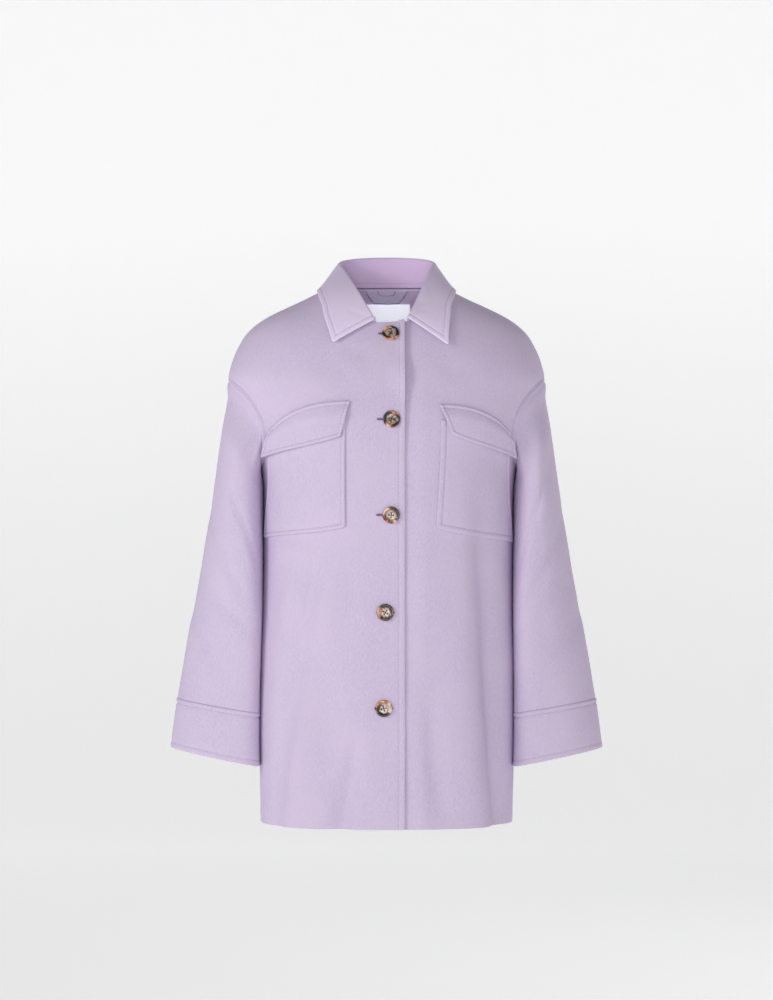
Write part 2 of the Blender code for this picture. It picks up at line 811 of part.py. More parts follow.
def patch_grid(plan, columns, rows, top_droop, bottom_droop):
    """Angles and heights of a pocket or flap, by increasing angle from its inner edge and upwards."""
    s = np.linspace(0, 1, columns + 1)[:, None]
    t = np.linspace(0, 1, rows + 1)[None]
    bottom_angle = plan.inner_bottom_angle + (plan.outer_bottom_angle - plan.inner_bottom_angle) * s
    top_angle = plan.inner_top_angle + (plan.outer_top_angle - plan.inner_top_angle) * s
    bottom = plan.inner_bottom + (plan.outer_bottom - plan.inner_bottom) * s**bottom_droop
    top = plan.inner_top + (plan.outer_top - plan.inner_top) * s**top_droop
    angle = bottom_angle + (top_angle - bottom_angle) * t
    height = bottom + (top - bottom) * t
    return plan.side * angle, height, s, t


def build_pockets(collection):
    """Patch pocket bags, and the flaps that cover their tops."""
    names = {RIGHT: "right", LEFT: "left"}
    for plan in POCKETS:
        angle, height, _, _ = patch_grid(
            plan, POCKET_COLUMNS, POCKET_ROWS, FLAP_TOP_DROOP, POCKET_BOTTOM_DROOP
        )
        points = front_point(plan.side, angle, height, PATCH_GAP + POCKET_CLOTH)
        points = points if plan.side == LEFT else points[::-1]
        cloth_object(f"{names[plan.side]}_pocket", points, POCKET_CLOTH, WOOL, collection)
    for plan in FLAPS:
        angle, height, s, t = patch_grid(
            plan, FLAP_COLUMNS, FLAP_ROWS, FLAP_TOP_DROOP, FLAP_BOTTOM_DROOP
        )
        stand = FLAP_STAND * step((1 - t) * FLAP_ROWS / 2) + FLAP_CORNER_LIFT * s**3 * (1 - t)
        out = PATCH_GAP + POCKET_CLOTH + stand
        points = front_point(plan.side, angle, height, out)
        points = points if plan.side == LEFT else points[::-1]
        cloth_object(f"{names[plan.side]}_pocket_flap", points, POCKET_CLOTH, WOOL, collection)


def build_neck_inside(collection):
    """The facing, the label and the hanger loop inside the back neck."""
    grid = back_grid()[FACING_FIRST_COLUMN : FACING_LAST_COLUMN + 1, -FACING_ROWS - 1 :]
    facing_top = CLOTH + SEAM_GAP
    points = body_point(grid[..., 0], grid[..., 1], -facing_top)
    cloth_object("back_neck_facing", points, FACING_CLOTH, WOOL_INSIDE, collection)

    label_face = facing_top + FACING_CLOTH + SEAM_GAP
    across = np.linspace(LABEL_WIDTH / 2, -LABEL_WIDTH / 2, LABEL_COLUMNS + 1)[:, None]
    heights = np.linspace(LABEL_BOTTOM, LABEL_TOP, LABEL_ROWS + 1)[None]
    radius = ring_value("back", heights)
    angle = 180.0 - np.degrees(np.arctan2(across, radius))
    points = body_point(angle, heights, -label_face - LABEL_STAND)
    cloth_object("neck_label", points, LABEL_CLOTH, LABEL, collection)

    cloth_object("hanger_loop", loop_points(label_face), LOOP_CLOTH, RIBBON, collection)


def loop_points(inside):
    """The ribbon's outer face, across its width and then from one end to the other."""
    outer_line = (
        (-LOOP_OUTER_HALF, 0.0),
        (-(LOOP_OUTER_HALF + LOOP_LOW_OUTER_HALF) / 2, -LOOP_DROP / 2),
        (-LOOP_LOW_OUTER_HALF, -LOOP_DROP + LOOP_BEND),
        (0.0, -LOOP_DROP),
        (LOOP_LOW_OUTER_HALF, -LOOP_DROP + LOOP_BEND),
        ((LOOP_OUTER_HALF + LOOP_LOW_OUTER_HALF) / 2, -LOOP_DROP / 2),
        (LOOP_OUTER_HALF, 0.0),
    )
    inner_line = (
        (-LOOP_INNER_HALF, 0.0),
        (-LOOP_INNER_HALF, -LOOP_INNER_DROP / 2),
        (-LOOP_LOW_INNER_HALF, -LOOP_INNER_DROP),
        (0.0, -LOOP_INNER_DROP - LOOP_BEND / 2),
        (LOOP_LOW_INNER_HALF, -LOOP_INNER_DROP),
        (LOOP_INNER_HALF, -LOOP_INNER_DROP / 2),
        (LOOP_INNER_HALF, 0.0),
    )
    shares = np.linspace(0, 1, LOOP_ROWS + 1)[:, None, None]
    plan = np.array(outer_line) * (1 - shares) + np.array(inner_line) * shares
    heights = LOOP_TOP + plan[..., 1]
    angle = 180.0 - np.degrees(np.arctan2(plan[..., 0], ring_value("back", heights)))
    return body_point(angle, heights, -inside - LOOP_STAND)[:, ::-1]


def button_mesh():
    """The button's turned outline, in its own frame with its back at height 0."""
    mesh = bpy.data.meshes.new("button")
    points = [(p.radius * MM, 0.0, p.height * MM) for p in BUTTON_PROFILE]
    mesh.from_pydata(points, [(i, i + 1) for i in range(len(points) - 1)], [])
    return mesh


def hole_cutter():
    """Four short cylinders in one mesh, which cut the thread holes."""
    spread = BUTTON_HOLE_SPREAD * MM
    parts = []
    for x, y in ((-spread, -spread), (spread, -spread), (spread, spread), (-spread, spread)):
        bpy.ops.mesh.primitive_cylinder_add(
            vertices=BUTTON_HOLE_SIDES,
            radius=BUTTON_HOLE_RADIUS * MM,
            depth=2 * BUTTON_TOP * MM,
            location=(x, y, 0.0),
        )
        parts.append(bpy.context.object)
    with bpy.context.temp_override(active_object=parts[0], selected_editable_objects=parts):
        bpy.ops.object.join()
    cutter = parts[0]
    cutter.data.transform(cutter.matrix_world)
    cutter.matrix_world = Matrix.Identity(4)
    mesh = cutter.data
    bpy.data.objects.remove(cutter)
    mesh.name = "button_holes"
    return mesh


def build_buttons(collection, cutters):
    """Five buttons, each seated on the lapped front and facing out from it."""
    mesh, holes = button_mesh(), hole_cutter()
    for number, place in enumerate(BUTTONS, 1):
        angle = angle_at_width(place.height, place.x)
        seat = body_point(angle, place.height, BUTTON_STAND)
        normal = Vector(body_normal(angle, place.height))
        turn = normal.to_track_quat("Z", "Y").to_matrix().to_4x4()
        spin = Matrix.Rotation(math.radians(place.turn), 4, "Z")
        frame = Matrix.Translation(Vector(seat * MM)) @ turn @ spin
        button = bpy.data.objects.new(f"button_{number}", mesh.copy())
        button.matrix_world = frame
        collection.objects.link(button)
        screw = button.modifiers.new("Turning", "SCREW")
        screw.steps = screw.render_steps = BUTTON_STEPS
        screw.use_merge_vertices = True
        screw.merge_threshold = BUTTON_MERGE * MM
        screw.use_smooth_shade = True
        cutter = bpy.data.objects.new(f"button_{number}_holes", holes)
        cutter.matrix_world = frame
        cutter.hide_render = True
        cutter.display_type = "WIRE"
        cutters.objects.link(cutter)
        cut = button.modifiers.new("Holes", "BOOLEAN")
        cut.operation = "DIFFERENCE"
        cut.solver = "EXACT"
        cut.object = cutter
        give_material(button, HORN)
    bpy.data.meshes.remove(mesh)


def clear_scene():
    for obj in list(bpy.data.objects):
        bpy.data.objects.remove(obj, do_unlink=True)


def main():
    clear_scene()
    shacket = bpy.data.collections.new("shacket")
    cutters = bpy.data.collections.new("cutters")
    for collection in (shacket, cutters):
        bpy.context.scene.collection.children.link(collection)
    cutters.hide_render = True
    build_body(shacket)
    build_sleeves(shacket)
    build_collar(shacket)
    build_pockets(shacket)
    build_neck_inside(shacket)
    build_buttons(shacket, cutters)


main()
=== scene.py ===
"""The looks of a lilac wool shacket, filled out as if worn, with no wearer inside.

Lengths are in millimetres until a mesh is made, and then in metres. The garment faces -Y, its height runs
along +Z and the wearer's left is at +X. An angle runs round the body in degrees: 0 is the centre front, 90 the
wearer's left side, -90 the right side and 180 the centre back.
"""

import logging
import math
from dataclasses import dataclass, field
from enum import Enum
from typing import NamedTuple, Sequence

import bpy
import numpy as np
from mathutils import Matrix, Vector

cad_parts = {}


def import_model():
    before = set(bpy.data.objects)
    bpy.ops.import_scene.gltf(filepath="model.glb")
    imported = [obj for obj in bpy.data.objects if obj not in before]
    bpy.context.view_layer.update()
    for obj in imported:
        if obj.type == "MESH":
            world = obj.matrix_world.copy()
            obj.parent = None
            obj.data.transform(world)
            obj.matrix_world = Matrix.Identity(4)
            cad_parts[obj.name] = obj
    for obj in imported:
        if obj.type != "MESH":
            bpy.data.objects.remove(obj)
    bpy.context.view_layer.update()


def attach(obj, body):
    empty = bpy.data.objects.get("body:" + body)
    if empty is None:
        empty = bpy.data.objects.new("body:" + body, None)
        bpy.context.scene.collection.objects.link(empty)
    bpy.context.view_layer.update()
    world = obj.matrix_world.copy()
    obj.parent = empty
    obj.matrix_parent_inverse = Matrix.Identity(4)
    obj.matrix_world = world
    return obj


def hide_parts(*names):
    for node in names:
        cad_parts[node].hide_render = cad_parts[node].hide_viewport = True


log = logging.getLogger("shacket")

Array = np.ndarray
Pair = tuple[float, float]
Tree = bpy.types.NodeTree
Socket = bpy.types.NodeSocket
Object = bpy.types.Object
Material = bpy.types.Material
Mesh = bpy.types.Mesh

MM = 0.001
CLOTH = 2.2
SEAM_GAP = 0.3
BODY = "root"

# Half the room between two panels at a side or shoulder seam.
SEAM_SPREAD = 0.04
# Half the step, in degrees and in millimetres, over which a surface's slope is read.
NEAR = 0.5
TINY = 1e-9

# Steps of a cloth grid beside a finished edge: distance from the edge, and the step there.
STEP_DISTANCES = (0.0, 1.6, 3.0, 11.0)
STEP_SIZES = (0.35, 0.35, 1.0, 1.0)
STEP_EASE = 4.0
SAMPLES_A_MM = 10

# How many points' distances are worked out at once, to spare memory.
CHUNK = 1500

# The faint ridge beside a crease: its share of the crease's depth, and its place in widths of the crease.
RIDGE_SHARE, RIDGE_AWAY = 0.4, 1.7

# The share of a cloth's thickness that an edge is rounded over, where it is free and where a seam draws it in.
FREE_RIM, TIGHT_RIM = 0.46, 0.2

# Puckers along a stitched line: height, spread to each side, fade at the edge, and wave lengths with phases.
PUCKER_HEIGHT, PUCKER_SPREAD, PUCKER_FADE = 0.07, 6.0, 3.0
PUCKER_WAVES = ((1.9, 0.0), (3.1, 1.0), (5.3, 2.0))


class Side(Enum):
    """The wearer's side, with its sign along X."""

    RIGHT = -1
    LEFT = 1

    @property
    def label(self) -> str:
        """The side's name as it stands in a node's name."""
        return self.name.lower()


class Edge(Enum):
    """An edge of a cloth grid, by the grid's axis that it ends and its place on that axis."""

    FIRST_COLUMN = (0, 0)
    LAST_COLUMN = (0, -1)
    FIRST_ROW = (1, 0)
    LAST_ROW = (1, -1)


COLUMNS = (Edge.FIRST_COLUMN, Edge.LAST_COLUMN)
ROWS = (Edge.FIRST_ROW, Edge.LAST_ROW)


class Slot(Enum):
    """The record's material slots."""

    WOOL = "lilac_wool"
    RIBBON = "satin_ribbon"
    LABEL = "white_label"
    HORN = "horn_effect"


class Hold(Enum):
    """How a sheet of cloth is held."""

    HUNG = "hung"
    LAID = "laid"
    FOLDED = "folded"


def table(kind: type, *rows: tuple) -> tuple:
    """A table's rows, each as one kind of named tuple."""
    return tuple(kind(*row) for row in rows)


def blend(start: Array, end: Array, share: Array) -> Array:
    """The value at a share of the way from one to another."""
    return start + (end - start) * share


def arch(share: Array) -> Array:
    """Rises from 0 to 1 half-way and falls back to 0."""
    return 4 * share * (1 - share)


def bell(offset: Array, width: float) -> Array:
    """A bell curve, 1 at its middle."""
    return np.exp(-((offset / width) ** 2))


def crease_shape(aside: Array, width: float, ridge_width: float) -> Array:
    """A crease across itself: 1 in its trough and below 0 on the faint ridge beside it."""
    return bell(aside, width) - RIDGE_SHARE * bell(aside - RIDGE_AWAY * width, ridge_width * width)


def hermite(t: Array, start: Array, start_way: Array, end: Array, end_way: Array) -> Array:
    """A smooth curve between two values, which leaves and arrives in given ways."""
    near = (1 + 2 * t) * (1 - t) ** 2 * start + t * (1 - t) ** 2 * start_way
    return near + (t**2 * (3 - 2 * t) * end - t**2 * (1 - t) * end_way)


def smooth(places: Sequence[float], values: Sequence[float], at: Array) -> Array:
    """Reads a smooth curve through a table's values.

    Args:
        places: The table's places, rising.
        values: The table's values.
        at: The places to read, kept within the table.

    Returns:
        The curve's values.
    """
    places, values = np.asarray(places, float), np.asarray(values, float)
    at = np.clip(np.asarray(at, float), places[0], places[-1])
    slopes = np.gradient(values, places)
    i = np.clip(np.searchsorted(places, at, side="right") - 1, 0, len(places) - 2)
    span = places[i + 1] - places[i]
    return hermite((at - places[i]) / span, values[i], span * slopes[i], values[i + 1], span * slopes[i + 1])


def step(t: Array) -> Array:
    """Eases from 0 to 1."""
    t = np.clip(t, 0.0, 1.0)
    return t * t * (3 - 2 * t)


def unit(vectors: Array) -> Array:
    """Vectors of length 1."""
    return vectors / np.maximum(np.linalg.norm(vectors, axis=-1, keepdims=True), TINY)


def square_to(vectors: Array, ways: Array) -> Array:
    """The parts of vectors that are square to unit ways, at length 1."""
    return unit(vectors - (vectors * ways).sum(1, keepdims=True) * ways)


def wrapped(angle: Array) -> Array:
    """The same direction between -180 and 180 degrees."""
    return (np.asarray(angle, float) + 180.0) % 360.0 - 180.0


def pairs(angles: Array, heights: Array) -> Array:
    """Angles and heights side by side in one array."""
    return np.stack(np.broadcast_arrays(angles, heights), -1).astype(float)


def graded(length: float, coarse: float, fine_start: bool = True, fine_end: bool = True) -> Array:
    """Shares from 0 to 1 along a length, with short steps beside each finished edge.

    Args:
        length: The real length in millimetres.
        coarse: The step away from the edges.
        fine_start: Whether the start is a finished edge.
        fine_end: Whether the end is a finished edge.

    Returns:
        The shares.
    """
    places = np.linspace(0, length, max(int(length * SAMPLES_A_MM), SAMPLES_A_MM))
    distances = (*STEP_DISTANCES, STEP_DISTANCES[-1] + STEP_EASE * coarse)
    sizes = (*STEP_SIZES, coarse)
    steps = np.full(places.shape, coarse)
    if fine_start:
        steps = np.minimum(steps, np.interp(places, distances, sizes))
    if fine_end:
        steps = np.minimum(steps, np.interp(length - places, distances, sizes))
    count = np.concatenate([[0.0], np.cumsum(np.diff(places) / steps[1:])])
    wanted = np.linspace(0, count[-1], round(count[-1]) + 1)
    return np.interp(wanted, count, places / length)


def distance_to_line(points: Array, line: Array) -> Array:
    """The distance from each point to a line of straight pieces.

    Args:
        points: Points, one a row.
        line: The line's points, one a row.

    Returns:
        The distances.
    """
    starts, ways = line[:-1], np.diff(line, axis=0)
    squares = np.maximum((ways**2).sum(1), TINY)
    found = np.empty(len(points))
    for first in range(0, len(points), CHUNK):
        some = points[first : first + CHUNK, None]
        t = np.clip(((some - starts) * ways).sum(-1) / squares, 0, 1)
        gaps = some - (starts + t[..., None] * ways)
        found[first : first + CHUNK] = np.sqrt((gaps**2).sum(-1).min(1))
    return found


def srgb(code: str) -> tuple[float, float, float, float]:
    """Turns an sRGB hex colour into linear RGBA."""
    shares = [int(code[i : i + 2], 16) / 255 for i in (0, 2, 4)]
    return (*[s / 12.92 if s <= 0.04045 else ((s + 0.055) / 1.055) ** 2.4 for s in shares], 1.0)


def set_inputs(node: bpy.types.Node, inputs: dict) -> None:
    """Gives each of a node's inputs, by its name or its place, a value or a link."""
    for name, value in inputs.items():
        if isinstance(value, Socket):
            node.id_data.links.new(value, node.inputs[name])
        else:
            node.inputs[name].default_value = value


def add_node(tree: Tree, kind: str, output: str | int, inputs: dict | None = None, **settings: object) -> Socket:
    """Adds a node with its settings, its input values and its links.

    Args:
        tree: The tree that the node joins.
        kind: The node's type.
        output: The output that is used, by its name or its place.
        inputs: A value or an output socket for each input, by its name or its place.
        settings: The node's own properties.

    Returns:
        The output's socket.
    """
    node = tree.nodes.new(kind)
    for name, value in settings.items():
        setattr(node, name, value)
    set_inputs(node, inputs or {})
    return node.outputs[output]


def object_place(tree: Tree) -> Socket:
    """The place on the object, in metres."""
    return add_node(tree, "ShaderNodeTexCoord", "Object")


def mix(tree: Tree, share: Socket, first: Socket | str, second: Socket | str) -> Socket:
    """Mixes two colours, each a socket or an sRGB hex colour."""
    first, second = (srgb(colour) if isinstance(colour, str) else colour for colour in (first, second))
    return add_node(tree, "ShaderNodeMix", 2, {"Factor": share, 6: first, 7: second}, data_type="RGBA")


def noise(tree: Tree, place: Socket, size_mm: float, detail: float, **values: float) -> Socket:
    """A noise whose lumps have a real size."""
    inputs = {"Vector": place, "Scale": 1.0 / (size_mm * MM), "Detail": detail, **values}
    return add_node(tree, "ShaderNodeTexNoise", "Fac", inputs)


def bands(tree: Tree, place: Socket, width_mm: float, distortion: float, direction: str) -> Socket:
    """Fine bands of a real width."""
    inputs = {"Vector": place, "Scale": 1.0 / (width_mm * MM * 2 * math.pi), "Distortion": distortion}
    return add_node(tree, "ShaderNodeTexWave", "Fac", inputs, bands_direction=direction)


def stretched(tree: Tree, value: Socket, low: float, high: float, start: float = 0.0, end: float = 1.0) -> Socket:
    """A value that goes from the start to the end while another goes from low to high."""
    inputs = {"Value": value, "From Min": low, "From Max": high, "To Min": start, "To Max": end}
    return add_node(tree, "ShaderNodeMapRange", "Result", inputs)


def multiply_add(tree: Tree, first: Socket, factor: float, second: Socket) -> Socket:
    """The first value times a factor, plus the second."""
    return add_node(tree, "ShaderNodeMath", 0, {0: first, 1: factor, 2: second}, operation="MULTIPLY_ADD")


def bump(tree: Tree, height: Socket, strength: float, depth_mm: float) -> Socket:
    """Normals for a relief of a real depth."""
    inputs = {"Height": height, "Strength": strength, "Distance": depth_mm * MM}
    return add_node(tree, "ShaderNodeBump", "Normal", inputs)


def new_material(name: str) -> tuple[Material, Tree, bpy.types.Node]:
    """A material with its tree and its shader."""
    material = bpy.data.materials.new(name)
    material.use_nodes = True
    return material, material.node_tree, material.node_tree.nodes["Principled BSDF"]


def new_mesh(
    name: str, points: Sequence, faces: Sequence, material: Material | None = None, edges: Sequence = ()
) -> Mesh:
    """A smooth mesh in one finish, or bare points and edges without one.

    Args:
        name: The mesh's name.
        points: Its points in metres.
        faces: Its faces, as places in the points.
        material: Its finish.
        edges: Its loose edges.

    Returns:
        The mesh.
    """
    mesh = bpy.data.meshes.new(name)
    mesh.from_pydata(points, edges, faces)
    if material:
        mesh.shade_smooth()
        mesh.materials.append(material)
    return mesh


def new_object(name: str, data: bpy.types.ID) -> Object:
    """An object in the scene."""
    obj = bpy.data.objects.new(name, data)
    bpy.context.scene.collection.objects.link(obj)
    return obj


def evaluated_mesh(obj: Object) -> Mesh:
    """An object's mesh with its modifiers carried out."""
    return bpy.data.meshes.new_from_object(obj.evaluated_get(bpy.context.evaluated_depsgraph_get()))


def write_mark(mesh: Mesh, name: str, values: Array, vectors: bool = False) -> None:
    """Writes a number or a vector for each point of a mesh."""
    mark = mesh.attributes.new(name, "FLOAT_VECTOR" if vectors else "FLOAT", "POINT")
    mark.data.foreach_set("vector" if vectors else "value", values.ravel().astype(np.float32))


@dataclass(frozen=True)
class BrushedWool:
    """Melton wool, fulled and brushed: a matt face of short matted fibres with a soft bloom at grazing angles."""

    name: str = "brushed_melton_wool"
    light: str = "D9CCE4"
    dark: str = "CABAD7"
    warm: str = "DAC8E0"
    sheen_tint: str = "F0E8F6"
    # Painted light: the colours mixed in on the collar's inner face and on its fall.
    painted_inside_colour: str = "E6CCF0"
    painted_fall_colour: str = "F0E0FA"
    fibre_mm: float = 1.5
    clump_mm: float = 7.0
    cloud_mm: float = 70.0
    nap_stretch: float = 0.4
    bump_mm: float = 0.35

    def build(self) -> Material:
        """The material. Real fibres are a fiftieth of a millimetre, so the grain is drawn as coarse as it shows."""
        material, tree, shader = new_material(self.name)
        place = object_place(tree)
        stretch = {"Vector": place, "Scale": (1.0, 1.0, self.nap_stretch)}
        brushed = add_node(tree, "ShaderNodeMapping", "Vector", stretch)
        fibres = noise(tree, brushed, self.fibre_mm, 3.0, Roughness=0.65)
        clumps = noise(tree, brushed, self.clump_mm, 2.0)
        # The fibres lie in small matted tufts, lighter where they stand up to the light.
        colour = mix(tree, stretched(tree, fibres, 0.3, 0.7), self.dark, self.light)
        # The dye takes a little warmer in patches a hand wide.
        drift = stretched(tree, noise(tree, place, self.cloud_mm, 1.0), 0.4, 0.65, end=0.45)
        colour = mix(tree, drift, colour, self.warm)
        # Painted light: the collar's inner face is tinted more saturated and paler, standing in for light bounced
        # between wool faces in the shaded neck, and the collar's fall is painted paler as painted light.
        for mark, shade in (("inside", self.painted_inside_colour), ("painted_fall_light", self.painted_fall_colour)):
            share = add_node(tree, "ShaderNodeAttribute", "Fac", attribute_name=mark)
            colour = mix(tree, share, colour, shade)
        # The nap scatters nearly all light, with a little sheen from fibre ends seen edge-on.
        matt = {"Roughness": 0.95, "Specular IOR Level": 0.15}
        bloom = {"Sheen Weight": 0.06, "Sheen Roughness": 0.5, "Sheen Tint": srgb(self.sheen_tint)}
        relief = bump(tree, multiply_add(tree, clumps, 0.5, fibres), 0.6, self.bump_mm)
        set_inputs(shader, {"Base Color": colour, "Normal": relief, **matt, **bloom})
        return material


@dataclass(frozen=True)
class WovenSatin:
    """Satin ribbon or label: a fine weave with long floats, so its gloss runs softly along one way."""

    name: str
    colour: str
    shade: str
    roughness: float = 0.42
    thread_mm: float = 0.9
    slub_mm: float = 1 / 0.26
    glow: float = 0.0

    def build(self) -> Material:
        """The material. The real floats are a fifth of a millimetre, and they are drawn as coarse as they show."""
        material, tree, shader = new_material(self.name)
        place = add_node(tree, "ShaderNodeUVMap", "UV", uv_map="Cloth")
        ribs = bands(tree, place, self.thread_mm, 0.6, "Y")
        # Slubs in the yarn break up the even lines of the weave.
        slubs = noise(tree, place, self.slub_mm, 2.0)
        # Painted light: the glow is an emission that brightens a piece lying in shade, such as the label inside the
        # neck.
        gloss = {"Roughness": self.roughness, "Sheen Weight": 0.15, "Anisotropic": 0.4}
        glow = {"Emission Color": srgb(self.colour), "Emission Strength": self.glow}
        colour = mix(tree, multiply_add(tree, ribs, 0.35, slubs), self.shade, self.colour)
        set_inputs(shader, {"Base Color": colour, "Normal": bump(tree, ribs, 0.3, 0.1), **gloss, **glow})
        return material


@dataclass(frozen=True)
class SewingThread:
    """Spun polyester thread: a matt twist, a shade from the cloth's own colour."""

    name: str
    colour: str
    shade: str
    twist_mm: float = 0.5

    def build(self) -> Material:
        """The material, with fine bands for the twist of the plies."""
        material, tree, shader = new_material(self.name)
        twist = bands(tree, object_place(tree), self.twist_mm, 1.0, "DIAGONAL")
        set_inputs(shader, {"Base Color": mix(tree, twist, self.shade, self.colour), "Roughness": 0.7})
        return material


@dataclass(frozen=True)
class HornResin:
    """Polished horn-effect polyester resin: black and amber clouds round a smoky cream face, under a clear gloss."""

    name: str = "polished_horn_resin"
    cloud_mm: float = 13.0
    smoke_mm: float = 7.0
    swirl: float = 0.7
    seed: float = 3.4
    rim_colours: tuple[tuple[float, str], ...] = (
        (0.40, "0E0B0B"), (0.49, "2A1712"), (0.54, "A85F34"), (0.60, "C98A5C"), (0.66, "D9CBBE"),
    )
    face_colours: tuple[tuple[float, str], ...] = (
        (0.36, "2E221D"), (0.45, "8C786A"), (0.55, "BFB2A4"), (0.63, "A8683F"),
    )

    def build(self) -> Material:
        """The material. Its clouds run through the whole row of buttons, so no two buttons match."""
        material, tree, shader = new_material(self.name)
        place = object_place(tree)

        def clouds(size_mm: float, colours: Sequence[tuple[float, str]], seed: float) -> Socket:
            """Drawn-out clouds in a few colours."""
            values = {"Vector": place, "W": seed, "Scale": 1.0 / (size_mm * MM), "Detail": 1.5}
            values["Distortion"] = self.swirl
            cloud = add_node(tree, "ShaderNodeTexNoise", "Fac", values, noise_dimensions="4D")
            colour = add_node(tree, "ShaderNodeValToRGB", "Color", {"Fac": cloud})
            stops = colour.node.color_ramp.elements
            while len(stops) < len(colours):
                stops.new(1.0)
            for stop, (position, code) in zip(stops, colours):
                stop.position = position
                stop.color = srgb(code)
            return colour

        # The turned rim cuts through the dark outer layer, and the dished face reaches the pale one.
        edge = add_node(tree, "ShaderNodeAttribute", "Fac", attribute_name="rim")
        face = clouds(self.smoke_mm, self.face_colours, self.seed)
        rim = clouds(self.cloud_mm, self.rim_colours, self.seed + 5.0)
        # Polished resin under a clear coat gives a small crisp highlight.
        gloss = {"Roughness": 0.3, "IOR": 1.54, "Coat Weight": 0.5, "Coat Roughness": 0.12}
        set_inputs(shader, {"Base Color": mix(tree, edge, face, rim), **gloss})
        return material


@dataclass(frozen=True)
class StudioPaper:
    """Seamless background paper, pale and matt, lit through from behind."""

    name: str = "seamless_paper"
    colour: str = "F8F8F8"
    glow: float = 0.37
    tooth_mm: float = 3.0

    def build(self) -> Material:
        """The material, with the paper's faint tooth."""
        material, tree, shader = new_material(self.name)
        tooth = noise(tree, object_place(tree), self.tooth_mm, 2.0)
        # Matt paper: even in every direction, with the light behind it as its glow.
        matt = {"Base Color": srgb(self.colour), "Roughness": 0.9, "Specular IOR Level": 0.1}
        glow = {"Emission Color": srgb(self.colour), "Emission Strength": self.glow}
        set_inputs(shader, {"Normal": bump(tree, tooth, 0.05, 0.1), **matt, **glow})
        return material


class Finishes:
    """Every material of the shacket, made once."""

    def __init__(self) -> None:
        """Builds the materials."""
        self.wool = BrushedWool().build()
        # The facing's wool is a paler copy of the body's wool: painted light for the shade inside the neck.
        self.wool_painted_light = BrushedWool(
            name="melton_wool_painted_light", light="F2E0FD", dark="E8D3F8", warm="F2DFFB", sheen_tint="ECDDF4"
        ).build()
        # The ribbon's colours are paler than its own grey lilac: painted light for the shade inside the neck.
        self.ribbon = WovenSatin("grey_lilac_satin_ribbon", "EAE3FC", "DAD0F4").build()
        # The label's glow is painted light, lifting it out of the shade inside the neck.
        self.label = WovenSatin("white_woven_satin_label", "F4F7FF", "E9EEF8", 0.55, glow=0.6).build()
        self.thread = SewingThread("lilac_sewing_thread", "C4B3D2", "A493B6").build()
        self.edge_thread = SewingThread("ribbon_edge_thread", "8B7CA4", "75668F").build()
        self.hole_thread = SewingThread("dark_button_thread", "3A2B2A", "1E1616").build()
        # The buttonhole slits are flat dark sheets in a thread material: painted shadow where the cut opens.
        self.slit = SewingThread("buttonhole_shadow", "5E4E6C", "43364F").build()
        self.horn = HornResin().build()
        self.paper = StudioPaper().build()


class BodyRing(NamedTuple):
    """A level section of the body, from the hem up."""

    height: float
    half_width: float
    front: float
    back: float
    squareness: float = 2.2
    shift: float = 0.0


class NeckPoint(NamedTuple):
    """Height of the neck seam at an angle round the body."""

    angle: float
    height: float


class Fold(NamedTuple):
    """A broad soft trough or ridge that runs down the body. A negative depth is a trough."""

    top_angle: float
    top: float
    bottom_angle: float
    bottom: float
    width: float
    depth: float


class Crease(NamedTuple):
    """A soft crease in any direction, with a faint ridge beside it. A negative depth is a trough."""

    from_angle: float
    from_height: float
    to_angle: float
    to_height: float
    width: float
    depth: float
    bow: float


